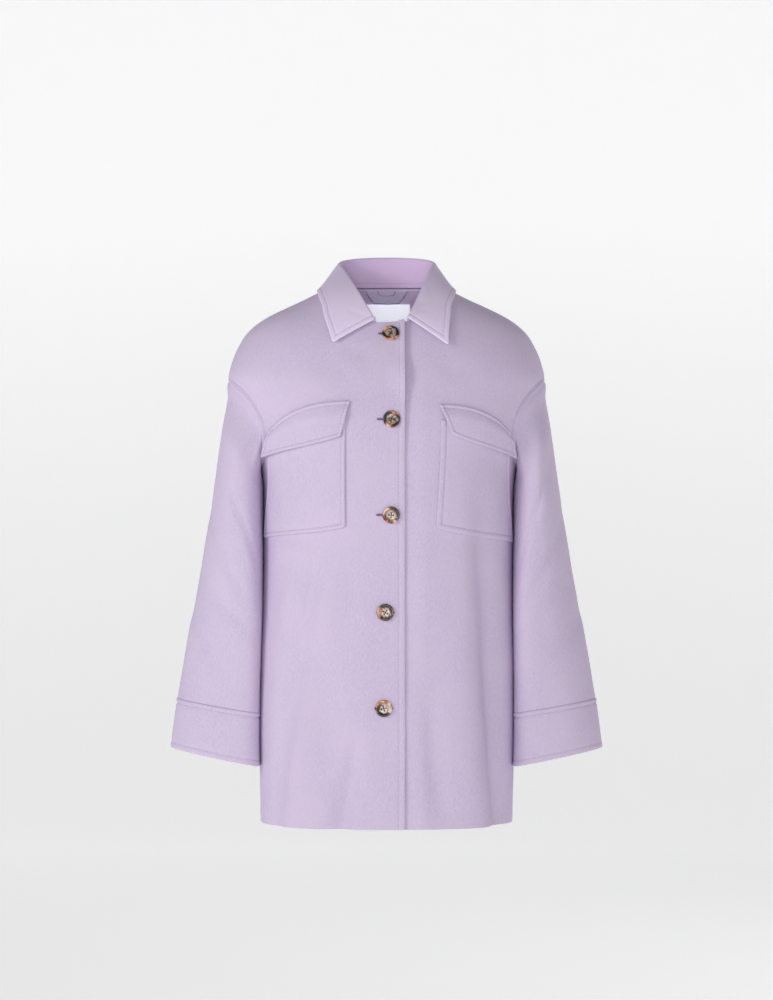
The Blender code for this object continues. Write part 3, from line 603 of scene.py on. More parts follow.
@dataclass(frozen=True)
class BodyForm:
    """The worn body's outer surface, as a distance from its upright middle line at each angle and height."""

    hem: float = -724.0
    underarm: float = -235.0
    armhole_top: float = -117.0
    neck_side: float = 8.5
    shoulder_back: float = 8.0
    armhole_forward: float = 72.0
    armhole_backward: float = 62.0
    underlap_step: float = 28.0
    underlap_level: float = 52.0
    underlap_depth: float = CLOTH + 0.8
    fold_radius: float = 150.0
    fold_ends: float = 0.4
    rings: tuple[BodyRing, ...] = table(
        BodyRing,
        (-724, 173.5, 146, 132, 2.35, 0), (-640, 174.5, 144, 129, 2.35, 0.3), (-540, 174.5, 141, 124, 2.35, 0.8),
        (-440, 173, 139, 118, 2.35, 1.6), (-338, 171.5, 139, 115, 2.35, 2.4), (-290, 171.5, 140.5, 116, 2.32, 2.8),
        (-260, 172.5, 141, 117, 2.31, 3.1), (-235, 176, 141, 118, 2.3, 3.3), (-210, 182.5, 140, 120, 2.3, 3.4),
        (-185, 191, 138, 121, 2.28, 3.4), (-160, 200.5, 135, 121, 2.26, 2.2), (-138, 210, 130, 120, 2.22, 1),
        (-117, 217.5, 125, 118), (-95, 213.5, 118, 114), (-73, 204.5, 109, 108), (-51, 190, 97, 100),
        (-40, 177.3, 90, 95), (-29, 159.4, 82, 90), (-18, 136.5, 74, 85), (-7, 113, 65, 79), (1, 97, 57, 75),
        (8.5, 80, 49, 71), (16, 64, 40, 66), (30, 42, 22, 46), (60, 20, 10, 20),
    )
    neckline: tuple[NeckPoint, ...] = table(
        NeckPoint,
        (-180, 13), (-150, 12.6), (-120, 11), (-96, 8.5), (-75, 0), (-60, -11), (-45, -22), (-30, -32.5), (-18, -39),
        (-9, -42), (0, -42), (9, -41), (17, -39), (30, -31.5), (45, -22), (60, -11), (75, 0), (96, 8.5), (120, 11),
        (150, 12.6), (180, 13),
    )
    folds: tuple[Fold, ...] = table(
        Fold,
        (-38, -430, -20, -800, 26, -7), (-52, -500, -46, -860, 24, 4), (50, -400, 68, -800, 26, -4),
        (32, -300, 46, -880, 24, 4.5), (150, -330, 138, -820, 30, -7), (206, -390, 222, -840, 28, -8),
        (176, -480, 182, -860, 30, 5), (-72, -330, -72, -780, 24, 3.6), (72, -330, 72, -780, 24, 3.6),
    )
    creases: tuple[Crease, ...] = table(
        Crease,
        (-32, -72, -7, -86, 11, -1.3, 5), (-44, -92, -20, -128, 18, -1.6, -8), (30, -92, 52, -118, 16, -1.4, 6),
        (-70, -262, -42, -352, 15, -2.2, 9), (-62, -352, -34, -430, 20, -1.8, -10),
        (72, -258, 46, -360, 16, -2.4, -8), (58, -368, 30, -452, 22, -1.7, 12), (-14, -330, -24, -520, 24, -1.9, 8),
        (14, -320, 20, -470, 22, 1.6, -6), (-31, -240, -64, -810, 15, -7, 4), (-13, -565, -31, -810, 13, -7, 0),
        (-62, -560, -70, -730, 16, -2.4, 5), (47, -215, 65, -880, 17, -9.5, -4), (22, -520, 31, -745, 14, -3.4, 4),
        (40, -600, 46, -740, 18, 1.8, -6), (128, -118, 158, -168, 16, -2.6, 8), (232, -112, 204, -172, 17, -2.8, -8),
        (112, -262, 142, -372, 15, -4.2, 10), (246, -258, 220, -388, 16, -4, -12),
        (126, -410, 150, -520, 18, -3.2, -8), (236, -430, 208, -548, 17, -3, 9), (160, -70, 200, -74, 14, -1.4, 3),
        (170, -190, 160, -450, 19, -4.2, 12), (192, -170, 198, -400, 20, 3.4, -8),
        (146, -470, 138, -745, 15, -4.6, -6), (213, -440, 222, -740, 16, -5.2, 8), (110, -560, 118, -730, 16, -3, 5),
        (250, -540, 242, -735, 15, -2.8, -6),
    )
    crease_ends: float = 0.35
    ridge_width: float = 1.2
    side_calm: Pair = (10.0, 26.0)

    def ring(self, column: str, height: Array) -> Array:
        """One column of the rings' table, read at a height."""
        heights = [ring.height for ring in self.rings]
        return smooth(heights, [getattr(ring, column) for ring in self.rings], height)

    def fold_relief(self, angle: Array, height: Array) -> Array:
        """How far the broad folds move the cloth out or in."""
        relief = np.zeros(np.broadcast(angle, height).shape)
        for fold in self.folds:
            down = (fold.top - height) / (fold.top - fold.bottom)
            middle = blend(fold.top_angle, fold.bottom_angle, down)
            aside = np.radians(wrapped(angle - middle)) * self.fold_radius
            ends = step(down / self.fold_ends) * step((1 - down) / self.fold_ends)
            relief = relief + fold.depth * ends * bell(aside, fold.width)
        return relief

    def crease_relief(self, angle: Array, height: Array) -> Array:
        """How far the creases move the cloth out or in. They fade at the sides, where the sleeves lie close."""
        relief = np.zeros(np.broadcast(angle, height).shape)
        for crease in self.creases:
            way = np.radians(crease.to_angle - crease.from_angle) * self.fold_radius
            rise = crease.to_height - crease.from_height
            length = math.hypot(way, rise)
            x = np.radians(wrapped(angle - crease.from_angle)) * self.fold_radius
            y = height - crease.from_height
            along = (x * way + y * rise) / length**2
            aside = (x * rise - y * way) / length - crease.bow * arch(along)
            ends = step(along / self.crease_ends) * step((1 - along) / self.crease_ends)
            relief = relief + crease.depth * ends * crease_shape(aside, crease.width, self.ridge_width)
        near, far = self.side_calm
        off_side = np.abs(np.abs(wrapped(angle)) - 90.0)
        return relief * step((off_side - near) / (far - near))

    def radius(self, angle: Array, height: Array) -> Array:
        """Distance of the surface from the body's upright middle line."""
        turn = np.radians(angle)
        power = self.ring("squareness", height)
        depth = np.where(np.cos(turn) >= 0, self.ring("front", height), self.ring("back", height))
        across = (np.abs(np.sin(turn)) / self.ring("half_width", height)) ** power
        along = (np.abs(np.cos(turn)) / depth) ** power
        plain = (across + along) ** (-1 / power)
        return plain + self.fold_relief(angle, height) + self.crease_relief(angle, height)

    def base(self, angle: Array, height: Array) -> Array:
        """Points of the surface."""
        angle, height = np.broadcast_arrays(np.asarray(angle, float), np.asarray(height, float))
        turn = np.radians(angle)
        radius = self.radius(angle, height)
        x = self.ring("shift", height) + radius * np.sin(turn)
        return np.stack([x, -radius * np.cos(turn), height], -1)

    def normal(self, angle: Array, height: Array) -> Array:
        """Outward normals of the surface."""
        around = self.base(angle + NEAR, height) - self.base(angle - NEAR, height)
        up = self.base(angle, height + NEAR) - self.base(angle, height - NEAR)
        return unit(np.cross(around, up))

    def point(self, angle: Array, height: Array, out: Array | float = 0.0) -> Array:
        """Points of the surface, moved out by a distance."""
        out = np.asarray(out, float)[..., None]
        return self.base(angle, height) + self.normal(angle, height) * out

    def underlap_inset(self, angle: Array, height: Array) -> Array:
        """How far the left front lies inside the body's surface, under the lapped edge."""
        x = self.base(angle, height)[..., 0]
        hidden = step((self.underlap_level - x) / (self.underlap_level - self.underlap_step))
        return self.underlap_depth * hidden * (np.cos(np.radians(angle)) > 0)

    def front_point(self, side: Side, angle: Array, height: Array, out: Array | float = 0.0) -> Array:
        """Points on the outer face of one front, moved out by a distance."""
        if side is Side.LEFT:
            out = out - self.underlap_inset(angle, height)
        return self.point(angle, height, out)

    def angle_at_depth(self, height: Array, y: Array, side: Side) -> Array:
        """The angle at which the surface has this y, on one side."""
        depth = np.where(y < 0, self.ring("front", height), self.ring("back", height))
        power = self.ring("squareness", height)
        x = self.ring("half_width", height) * (1 - (np.abs(y) / depth) ** power) ** (1 / power)
        return side.value * np.degrees(np.arctan2(x, -y))

    def angle_at_width(self, height: Array, x: Array) -> Array:
        """The angle at which the front's surface has this x."""
        power = self.ring("squareness", height)
        across = x - self.ring("shift", height)
        share = (np.abs(across) / self.ring("half_width", height)) ** power
        y = self.ring("front", height) * (1 - share) ** (1 / power)
        return np.degrees(np.arctan2(across, y))

    def neck_height(self, angle: Array) -> Array:
        """Height of the neck seam at an angle."""
        angles = [point.angle for point in self.neckline]
        return smooth(angles, [point.height for point in self.neckline], wrapped(angle))

    def armhole_edge(self, side: Side, face: int, rows: int) -> Array:
        """Half an armhole's edge, from the underarm up.

        Args:
            side: The wearer's side.
            face: -1 for the front half and 1 for the back half.
            rows: The steps along it.

        Returns:
            Angles and heights.
        """
        turn = np.radians(np.linspace(180, 0, rows + 1))
        middle = (self.underarm + self.armhole_top) / 2
        heights = middle + (self.armhole_top - self.underarm) / 2 * np.cos(turn)
        reach = self.armhole_forward if face < 0 else self.armhole_backward
        y = self.shoulder_back * (1 + np.cos(turn)) / 2 + face * (reach * np.sin(turn) + SEAM_SPREAD)
        return pairs(self.angle_at_depth(heights, y, side), heights)

    def kept_off(self, points: Array, clearance: float) -> Array:
        """Points moved out, level with themselves, until they are clear of the surface."""
        height = points[..., 2]
        across = points[..., 0] - self.ring("shift", height)
        angle = np.degrees(np.arctan2(across, -points[..., 1]))
        reach = np.hypot(across, points[..., 1])
        share = np.maximum((self.radius(angle, height) + clearance) / reach, 1.0)
        moved = points.copy()
        moved[..., 0] += across * (share - 1)
        moved[..., 1] *= share
        return moved


class SeamRun(NamedTuple):
    """Edges of a sheet that are finished alike, with one line of topstitching at an inset from them."""

    edges: tuple[Edge, ...]
    inset: float
    swell: float = 0.5
    sink: float = 0.5
    spread: float = 1.3


class StitchPath(NamedTuple):
    """A line that topstitching follows, with the way that the cloth faces along it."""

    points: Array
    facing: Array


@dataclass
class ClothSheet:
    """A sheet of cloth as a grid of points on its outer face, by columns and then by rows.

    A closed sheet joins its last column to its first.
    """

    base: Array
    thickness: float = CLOTH
    closed: bool = False
    lift: Array = field(init=False)
    rim: Array = field(init=False)
    marks: dict[str, Array] = field(default_factory=dict)
    distances: dict[Edge, Array] = field(default_factory=dict)

    def __post_init__(self) -> None:
        """Starts with no relief."""
        self.lift = np.zeros(self.base.shape[:2])
        self.rim = np.zeros(self.base.shape[:2])
        self.normals = self.facing(self.base)

    def facing(self, points: Array) -> Array:
        """Outward normals at the grid's points."""
        if self.closed:
            around = np.roll(points, -1, 0) - np.roll(points, 1, 0)
        else:
            around = np.gradient(points, axis=0)
        return unit(np.cross(around, np.gradient(points, axis=1)))

    def outer(self) -> Array:
        """The finished outer face."""
        return self.base + self.normals * self.lift[..., None]

    def move(self, out: Array) -> None:
        """Moves the whole cloth out along its normals."""
        self.base = self.base + self.normals * out[..., None]
        self.normals = self.facing(self.base)
        self.distances.clear()

    def edges(self) -> tuple[Edge, ...]:
        """The sheet's open edges."""
        return ROWS if self.closed else (*COLUMNS, *ROWS)

    def edge_line(self, edge: Edge) -> Array:
        """The points along an edge."""
        axis, end = edge.value
        line = self.base.take(end, axis)
        return np.concatenate([line, line[:1]]) if self.closed else line

    def along(self, axis: int) -> Array:
        """Lengths along the grid's lines, from the first column or row."""
        steps = np.linalg.norm(np.diff(self.base, axis=axis), axis=-1)
        zero = np.zeros_like(steps.take([0], axis))
        return np.concatenate([zero, np.cumsum(steps, axis)], axis)

    def distance(self, edge: Edge, reach: float = 30.0) -> Array:
        """The distance of each point from an edge, cut off at a reach."""
        if edge not in self.distances:
            axis, end = edge.value
            run = self.along(axis)
            if end:
                run = run.take([-1], axis) - run
            found = np.full(run.shape, reach)
            close = run < 2 * reach
            found[close] = np.minimum(distance_to_line(self.base[close], self.edge_line(edge)), reach)
            self.distances[edge] = found
        return self.distances[edge]

    def nearest(self, edges: Sequence[Edge]) -> Array:
        """The distance of each point from the nearest of some edges."""
        return np.min([self.distance(edge) for edge in edges], axis=0)

    def round_corner(self, beside: Edge, end: Edge, radius: float) -> None:
        """Draws a square corner in to a round one.

        Args:
            beside: The corner's column edge.
            end: The corner's row edge.
            radius: The corner's radius.
        """
        u = np.clip(1 - self.distance(beside) / radius, 0, 1)
        v = np.clip(1 - self.distance(end) / radius, 0, 1)
        both = (u > 0) & (v > 0)
        share = np.where(both, np.maximum(u, v) / np.maximum(np.hypot(u, v), TINY), 1.0)
        inwards = unit(np.gradient(self.base, axis=0)) * (1 if beside is Edge.FIRST_COLUMN else -1)
        onwards = unit(np.gradient(self.base, axis=1)) * (1 if end is Edge.FIRST_ROW else -1)
        moved = inwards * (u * (1 - share) * radius)[..., None] + onwards * (v * (1 - share) * radius)[..., None]
        self.base = self.base + moved
        self.distances.clear()

    def finish_edges(self, runs: Sequence[SeamRun], tight: Sequence[Edge] = ()) -> list[StitchPath]:
        """Rounds every open edge, and gives each run its plump edge, sunken stitching and puckers.

        Args:
            runs: The edges that are finished alike.
            tight: Edges that are drawn close against their neighbours, and rounded less.

        Returns:
            The lines that the topstitching follows.
        """
        self.rim = np.zeros(self.base.shape[:2])
        for edge in self.edges():
            half = self.thickness * (TIGHT_RIM if edge in tight else FREE_RIM)
            close = np.minimum(self.distance(edge), half)
            self.rim = np.maximum(self.rim, half - np.sqrt(np.maximum(half**2 - (half - close) ** 2, 0.0)))
        self.lift = self.lift - self.rim
        for run in runs:
            gap = self.nearest(run.edges)
            from_line = gap - run.inset
            self.lift = self.lift + run.swell * arch(np.clip(gap / run.inset, 0, 1))
            self.lift = self.lift - run.sink * bell(from_line, run.spread)
            place = self.along(1 - run.edges[0].value[0])
            waves = sum(np.sin(place / length + phase) for length, phase in PUCKER_WAVES)
            puckers = PUCKER_HEIGHT * waves * bell(from_line, PUCKER_SPREAD)
            self.lift = self.lift + puckers * step(gap / PUCKER_FADE)
        return [path for run in runs for path in self.stitch_paths(run)]

    def stitch_paths(self, run: SeamRun) -> list[StitchPath]:
        """The stitched line along each edge of a run, cut where it meets the next edge's line."""
        points, paths = self.outer(), []
        for edge in run.edges:
            across, back = edge.value

            def turned(values: Array) -> Array:
                """The values with the edge in front."""
                values = values.swapaxes(0, 1) if across else values
                return values[::-1] if back else values

            gap = turned(self.distance(edge))
            k = np.maximum(np.argmax(gap >= run.inset, axis=0), 1)
            j = np.arange(gap.shape[1])
            w = (run.inset - gap[k - 1, j]) / np.maximum(gap[k, j] - gap[k - 1, j], TINY)

            def read(values: Array) -> Array:
                """The values on the stitched line."""
                values = turned(values)
                share = w.reshape(-1, *[1] * (values.ndim - 2))
                return values[k - 1, j] * (1 - share) + values[k, j] * share

            keep = (w >= 0) & (w <= 1)
            for other in run.edges:
                if other is not edge:
                    keep &= read(self.distance(other)) >= run.inset - 0.1
            line, facing = read(points)[keep], unit(read(self.normals)[keep])
            if self.closed:
                line, facing = np.concatenate([line, line[:1]]), np.concatenate([facing, facing[:1]])
            if len(line) > 3:
                paths.append(StitchPath(line, facing))
        return paths

    def uneven(self, amount: float) -> None:
        """Gives the sheet the slight lumps of thick cloth."""
        x, y, z = np.moveaxis(self.base, -1, 0)
        lumps = np.sin(x / 17 + z / 23) + np.sin(x / 29 - z / 13 + 1.3) + np.sin(y / 19 + z / 31 + 2.1)
        calm = step((self.nearest(self.edges()) - 8.0) / 18.0)
        self.move(amount / 3 * lumps * calm)

    def build(self, name: str, material: Material) -> Object:
        """Makes the shell with its two faces and rounded rims.

        Args:
            name: The object's name.
            material: Its finish.

        Returns:
            The object.
        """
        columns, rows = self.base.shape[:2]
        outer = self.outer()
        inner = self.base - self.normals * (self.thickness - self.rim)[..., None]
        points = np.concatenate([outer.reshape(-1, 3), inner.reshape(-1, 3)]) * MM
        place = np.arange(columns * rows).reshape(columns, rows)
        if self.closed:
            place = np.concatenate([place, place[:1]])
        under = place + columns * rows

        def quads(a: Array, b: Array, c: Array, d: Array) -> Array:
            """Faces from four arrays of corners."""
            return np.stack([a.ravel(), b.ravel(), c.ravel(), d.ravel()], -1)

        a, b, c, d = place[:-1, :-1], place[1:, :-1], place[1:, 1:], place[:-1, 1:]
        count = columns * rows
        faces = [quads(a, b, c, d), quads(d + count, c + count, b + count, a + count)]
        faces.append(quads(place[:-1, 0], under[:-1, 0], under[1:, 0], place[1:, 0]))
        faces.append(quads(place[:-1, -1], place[1:, -1], under[1:, -1], under[:-1, -1]))
        if not self.closed:
            faces.append(quads(place[0, :-1], place[0, 1:], under[0, 1:], under[0, :-1]))
            faces.append(quads(place[-1, :-1], under[-1, :-1], under[-1, 1:], place[-1, 1:]))
        faces = np.concatenate(faces)
        mesh = new_mesh(name, points.tolist(), faces.tolist(), material)
        flat = np.stack([self.along(0), self.along(1)], -1).reshape(-1, 2) * MM
        flat = np.concatenate([flat, flat])
        uv_map = mesh.uv_layers.new(name="Cloth")
        uv_map.data.foreach_set("uv", flat[faces.ravel()].ravel().astype(np.float32))
        for mark, share in self.marks.items():
            write_mark(mesh, mark, np.concatenate([share.ravel(), np.zeros(columns * rows)]))
        return new_object(name, mesh)


class Cut(NamedTuple):
    """The flat size that a piece was cut to, in millimetres, and its share of that rectangle."""

    width: float
    length: float
    share: float


def carry(piece: Object) -> None:
    """Gives a piece to the body and logs its faces."""
    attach(piece, BODY)
    log.info("%s: %d faces", piece.name, len(piece.data.polygons))


def hand_over(
    piece: Object, node: str, slot: Slot, cut: Cut | None = None, hold: Hold = Hold.HUNG, on: Sequence[str] = ()
) -> None:
    """Puts a piece in place of its solid, which it hides.

    Args:
        piece: The finished piece.
        node: The solid that it stands for.
        slot: The record's material slot. Not used.
        cut: The flat size of a cloth piece. Not used.
        hold: How the cloth is held. Not used.
        on: The pieces or solids that carry it. Not used.
    """
    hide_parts(node)
    carry(piece)


@dataclass
class Topstitching:
    """Lines of thread stitches that lie in the cloth, made by one node tree."""

    material: Material
    spacing: float = 4.0
    length: float = 3.3
    width: float = 0.62
    seed: int = 7

    def __post_init__(self) -> None:
        """Builds the tree once."""
        self.tree = self.build_tree()

    def build_tree(self) -> bpy.types.NodeTree:
        """The tree that lays a stitch at each step of every line."""
        tree = bpy.data.node_groups.new("stitches_along_lines", "GeometryNodeTree")
        self.sockets = {}
        kinds = {"Lines": "Geometry", "Spacing": "Float", "Length": "Float", "Width": "Float", "Seed": "Int"}
        for name, kind in {**kinds, "Thread": "Material"}.items():
            socket = tree.interface.new_socket(name, in_out="INPUT", socket_type=f"NodeSocket{kind}")
            self.sockets[name] = socket.identifier
        tree.interface.new_socket("Stitches", in_out="OUTPUT", socket_type="NodeSocketGeometry")
        entry = tree.nodes.new("NodeGroupInput").outputs

        def shape(kind: str, output: str, inputs: dict, **settings: object) -> Socket:
            """A geometry node's output."""
            return add_node(tree, f"GeometryNode{kind}", output, inputs, **settings)

        def turned(direction: Socket, axis: str, inputs: dict, **settings: object) -> Socket:
            """A rotation that points an axis along a direction."""
            inputs = {"Vector": direction, **inputs}
            return add_node(tree, "FunctionNodeAlignRotationToVector", "Rotation", inputs, axis=axis, **settings)

        # One place a stitch, at even steps along each line.
        curves = shape("MeshToCurve", "Curve", {"Mesh": entry["Lines"]})
        steps = {"Curve": curves, "Length": entry["Spacing"]}
        marks = shape("ResampleCurve", "Curve", steps, mode="LENGTH")
        # Each stitch runs along its line and faces out of the cloth.
        ahead = turned(shape("InputTangent", "Tangent", {}), "X", {})
        facing = shape("InputNamedAttribute", "Attribute", {"Name": "facing"}, data_type="FLOAT_VECTOR")
        rotation = turned(facing, "Z", {"Rotation": ahead}, pivot_axis="X")
        # A stitch is a long bead, each a little shorter or longer than the next.
        sizes = {"X": entry["Length"], "Y": entry["Width"], "Z": entry["Width"]}
        size = add_node(tree, "ShaderNodeCombineXYZ", 0, sizes)
        bead = shape("MeshUVSphere", "Mesh", {"Segments": 6, "Rings": 5, "Radius": 0.5})
        stitch = shape("Transform", "Geometry", {"Geometry": bead, "Scale": size})
        span = {2: 0.9, 3: 1.1, "Seed": entry["Seed"]}
        scale = add_node(tree, "FunctionNodeRandomValue", 1, span, data_type="FLOAT")
        laid = {"Points": marks, "Instance": stitch, "Rotation": rotation, "Scale": scale}
        real = shape("RealizeInstances", "Geometry", {"Geometry": shape("InstanceOnPoints", "Instances", laid)})
        soft = shape("SetShadeSmooth", "Geometry", {"Geometry": real})
        dressed = shape("SetMaterial", "Geometry", {"Geometry": soft, "Material": entry["Thread"]})
        set_inputs(tree.nodes.new("NodeGroupOutput"), {"Stitches": dressed})
        return tree

    def sew(self, name: str, paths: Sequence[StitchPath], slot: Slot = Slot.WOOL, **sizes: float) -> None:
        """Sews lines of stitches and gives them to the body.

        Args:
            name: The piece's name.
            paths: The lines.
            slot: The record's material slot. Not used.
            sizes: Spacing, length or width in millimetres, where they differ from the usual ones.
        """
        points = np.concatenate([path.points for path in paths]) * MM
        facing = np.concatenate([path.facing for path in paths])
        edges, first = [], 0
        for path in paths:
            edges += [(first + i, first + i + 1) for i in range(len(path.points) - 1)]
            first += len(path.points)
        mesh = new_mesh(f"{name}_lines", points.tolist(), [], edges=edges)
        write_mark(mesh, "facing", facing, vectors=True)
        lines = new_object(f"{name}_lines", mesh)
        modifier = lines.modifiers.new("Stitches", "NODES")
        modifier.node_group = self.tree
        for size in ("spacing", "length", "width"):
            modifier[self.sockets[size.title()]] = sizes.get(size, getattr(self, size)) * MM
        modifier[self.sockets["Seed"]] = self.seed
        modifier[self.sockets["Thread"]] = self.material
        stitches = new_object(name, evaluated_mesh(lines))
        stitches.data.name = name
        bpy.data.objects.remove(lines, do_unlink=True)
        carry(stitches)


def inner_and_outer(side: Side) -> tuple[Edge, ...]:
    """A front piece's column edges nearest the centre front and nearest the arm."""
    return COLUMNS[:: side.value]


@dataclass
class Assembly:
    """A sub-assembly whose pieces lie on the body's form."""

    form: BodyForm
    finishes: Finishes
    topstitching: Topstitching

    def add(self, sheet: ClothSheet, node: str, cut: Cut, paths: Sequence[StitchPath] = (), **how: object) -> None:
        """Makes a wool piece in place of its solid, and sews its topstitching.

        Args:
            sheet: The finished cloth.
            node: The solid that it stands for.
            cut: The flat size that it was cut to.
            paths: The lines of its topstitching.
            how: How it is held and what it lies on, as hand_over has them.
        """
        hand_over(sheet.build(f"{node}_wool", self.finishes.wool), node, Slot.WOOL, cut, **how)
        if paths:
            self.topstitching.sew(f"{node}_topstitching", paths)


@dataclass
class Panels(Assembly):
    """The two fronts and the back, from the hem up to the neck seam."""

    lap_edge: float = 25.0
    underlap_edge: float = -25.0
    centre_at_underarm: float = -310.0
    centre_at_shoulder: float = -74.0
    row_ease: float = 2.4
    coarse: float = 4.6
    armhole_rows: int = 44
    edge_inset: float = 8.4
    armhole_inset: float = 7.0
    armhole_swell: float = 2.8
    armhole_sink: float = 2.0
    armhole_groove: float = 1.3
    armhole_spread: float = 1.6
    groove_width: float = 1.5
    armhole_ease: float = 12.0
    armhole_past: float = 4.0
    corner_radius: float = 5.0
    front_reach: float = 265.0
    back_reach: float = 270.0
    front_lumps: float = 0.4
    back_lumps: float = 0.6
    lap_lift: float = 3.8
    lap_lift_reach: float = 13.0
    lap_lift_top: float = -130.0
    lap_lift_bottom: float = -225.0
    gape: float = 4.5
    gape_reach: float = 27.0
    gape_middle: float = -116.0
    gape_half: float = 36.0
    front_cut: Cut = Cut(306, 780, 0.83)
    back_cut: Cut = Cut(530, 790, 0.83)

    def row_shares(self) -> tuple[Array, Array]:
        """Shares of the rows below the armhole and above it."""
        low = graded(self.form.underarm - self.form.hem, self.coarse, True, False)
        high = graded(self.form.neck_side - self.form.armhole_top, self.coarse, False, True)
        return low, high

    def outer_edge(self, side: Side, face: int) -> Array:
        """Angles and heights of the side seam, half the armhole and the shoulder seam."""
        form = self.form
        low_shares, high_shares = self.row_shares()
        low = blend(form.hem, form.underarm, low_shares[:-1])
        side_seam = pairs(form.angle_at_depth(low, np.full(low.shape, face * SEAM_SPREAD), side), low)
        high = blend(form.armhole_top, form.neck_side, high_shares[1:])
        ridge = np.full(high.shape, form.shoulder_back + face * SEAM_SPREAD)
        shoulder = pairs(form.angle_at_depth(high, ridge, side), high)
        return np.concatenate([side_seam, form.armhole_edge(side, face, self.armhole_rows), shoulder])

    def centre_heights(self, neck: float) -> Array:
        """Heights of the rows at the centre."""
        low_shares, high_shares = self.row_shares()
        turn, top = self.centre_at_underarm, self.centre_at_shoulder
        low = blend(self.form.hem, turn, low_shares[:-1])
        middle = np.linspace(turn, top, self.armhole_rows + 1)
        return np.concatenate([low, middle, blend(top, neck, high_shares[1:])])

    def half_panel(self, outer: Array, centre: Array, shares: Array) -> Array:
        """Fills the space between a panel's outer edge and its centre line.

        Args:
            outer: Angles and heights of the outer edge, from the hem up.
            centre: Angles and heights of the centre line.
            shares: Shares of the way from the one to the other.

        Returns:
            Angles and heights, by columns from the outer edge inwards.
        """
        bottom = pairs(blend(outer[0, 0], centre[0, 0], shares), self.form.hem)
        top_angles = blend(outer[-1, 0], centre[-1, 0], shares)
        top = pairs(top_angles, self.form.neck_height(top_angles))
        top[0], top[-1] = outer[-1], centre[-1]
        s = np.stack([shares, 1 - (1 - shares) ** self.row_ease], -1)[:, None]
        up = [(edge[:, 1] - edge[0, 1]) / (edge[-1, 1] - edge[0, 1]) for edge in (outer, centre)]
        t = ((up[0] + up[1]) / 2)[None, :, None]
        ruled = (1 - t) * bottom[:, None] + t * top[:, None] + (1 - s) * outer[None] + s * centre[None]
        corners = (1 - s) * ((1 - t) * bottom[0] + t * top[0]) + s * ((1 - t) * bottom[-1] + t * top[-1])
        return ruled - corners

    def front_sheet(self, side: Side) -> ClothSheet:
        """One front's cloth."""
        form = self.form
        outer = self.outer_edge(side, -1)
        edge_x = self.lap_edge if side is Side.RIGHT else self.underlap_edge
        neck = form.neck_height(form.angle_at_width(form.neck_height(0.0), edge_x))
        heights = self.centre_heights(float(neck))
        edge = pairs(form.angle_at_width(heights, np.full(heights.shape, edge_x)), heights)
        grid = self.half_panel(outer, edge, graded(self.front_reach, self.coarse))[:: -side.value]
        return ClothSheet(form.front_point(side, grid[..., 0], grid[..., 1]))

    def back_sheet(self) -> ClothSheet:
        """The back's cloth."""
        form = self.form
        halves = []
        heights = self.centre_heights(float(form.neck_height(180.0)))
        shares = graded(self.back_reach, self.coarse, True, False)
        for side in (Side.LEFT, Side.RIGHT):
            centre = pairs(side.value * 180.0, heights)
            halves.append(self.half_panel(self.outer_edge(side, 1), centre, shares))
        right = halves[1][::-1] + [360.0, 0.0]
        grid = np.concatenate([halves[0], right[1:]])
        return ClothSheet(form.point(grid[..., 0], grid[..., 1]))

    def armhole_run(self, sheet: ClothSheet, edges: Sequence[Edge]) -> list[StitchPath]:
        """Raises the topstitched ridge beside an armhole seam.

        Args:
            sheet: The panel.
            edges: Its outer edges.

        Returns:
            The stitched lines, which run along the armholes alone.
        """
        form, paths = self.form, []
        height = sheet.base[..., 2]
        risen, left = height - form.underarm + self.armhole_past, form.armhole_top + self.armhole_past - height
        reach = step(risen / self.armhole_ease) * step(left / self.armhole_ease)
        for edge in edges:
            gap = sheet.distance(edge)
            plump = self.armhole_swell * arch(np.clip(gap / self.armhole_inset, 0, 1))
            sunk = self.armhole_sink * bell(gap - self.armhole_inset, self.armhole_spread)
            sunk = sunk + self.armhole_groove * bell(gap, self.groove_width)
            sheet.lift = sheet.lift + (plump - sunk) * reach
            for path in sheet.stitch_paths(SeamRun((edge,), self.armhole_inset)):
                z = path.points[:, 2]
                keep = (z > form.underarm + 2) & (z < form.armhole_top - 1)
                paths.append(StitchPath(path.points[keep], path.facing[keep]))
        return paths

    def lift_lap(self, sheet: ClothSheet) -> None:
        """Lets the lapped edge stand off at the top, where the weight of the collar leaves draws it open."""
        beside = step(1 - sheet.distance(Edge.LAST_COLUMN) / self.lap_lift_reach)
        height = sheet.base[..., 2]
        near_top = step((height - self.lap_lift_bottom) / (self.lap_lift_top - self.lap_lift_bottom))
        gape_beside = step(1 - sheet.distance(Edge.LAST_COLUMN) / self.gape_reach)
        between = step(1 - np.abs(height - self.gape_middle) / self.gape_half)
        sheet.move(self.lap_lift * beside * near_top + self.gape * gape_beside * between)

    def build(self) -> None:
        """Builds the three panels and their topstitching."""
        for side in (Side.RIGHT, Side.LEFT):
            sheet = self.front_sheet(side)
            front, outer = inner_and_outer(side)
            sheet.uneven(self.front_lumps)
            if side is Side.RIGHT:
                self.lift_lap(sheet)
            sheet.round_corner(front, Edge.LAST_ROW, self.corner_radius)
            sheet.round_corner(front, Edge.FIRST_ROW, self.corner_radius / 2)
            paths = sheet.finish_edges([SeamRun((front,), self.edge_inset)], (Edge.LAST_ROW, outer))
            paths += self.armhole_run(sheet, (outer,))
            self.add(sheet, f"{side.label}_front", self.front_cut, paths)
        sheet = self.back_sheet()
        sheet.uneven(self.back_lumps)
        sheet.finish_edges([], (Edge.LAST_ROW, *COLUMNS))
        self.add(sheet, "back", self.back_cut, self.armhole_run(sheet, COLUMNS))


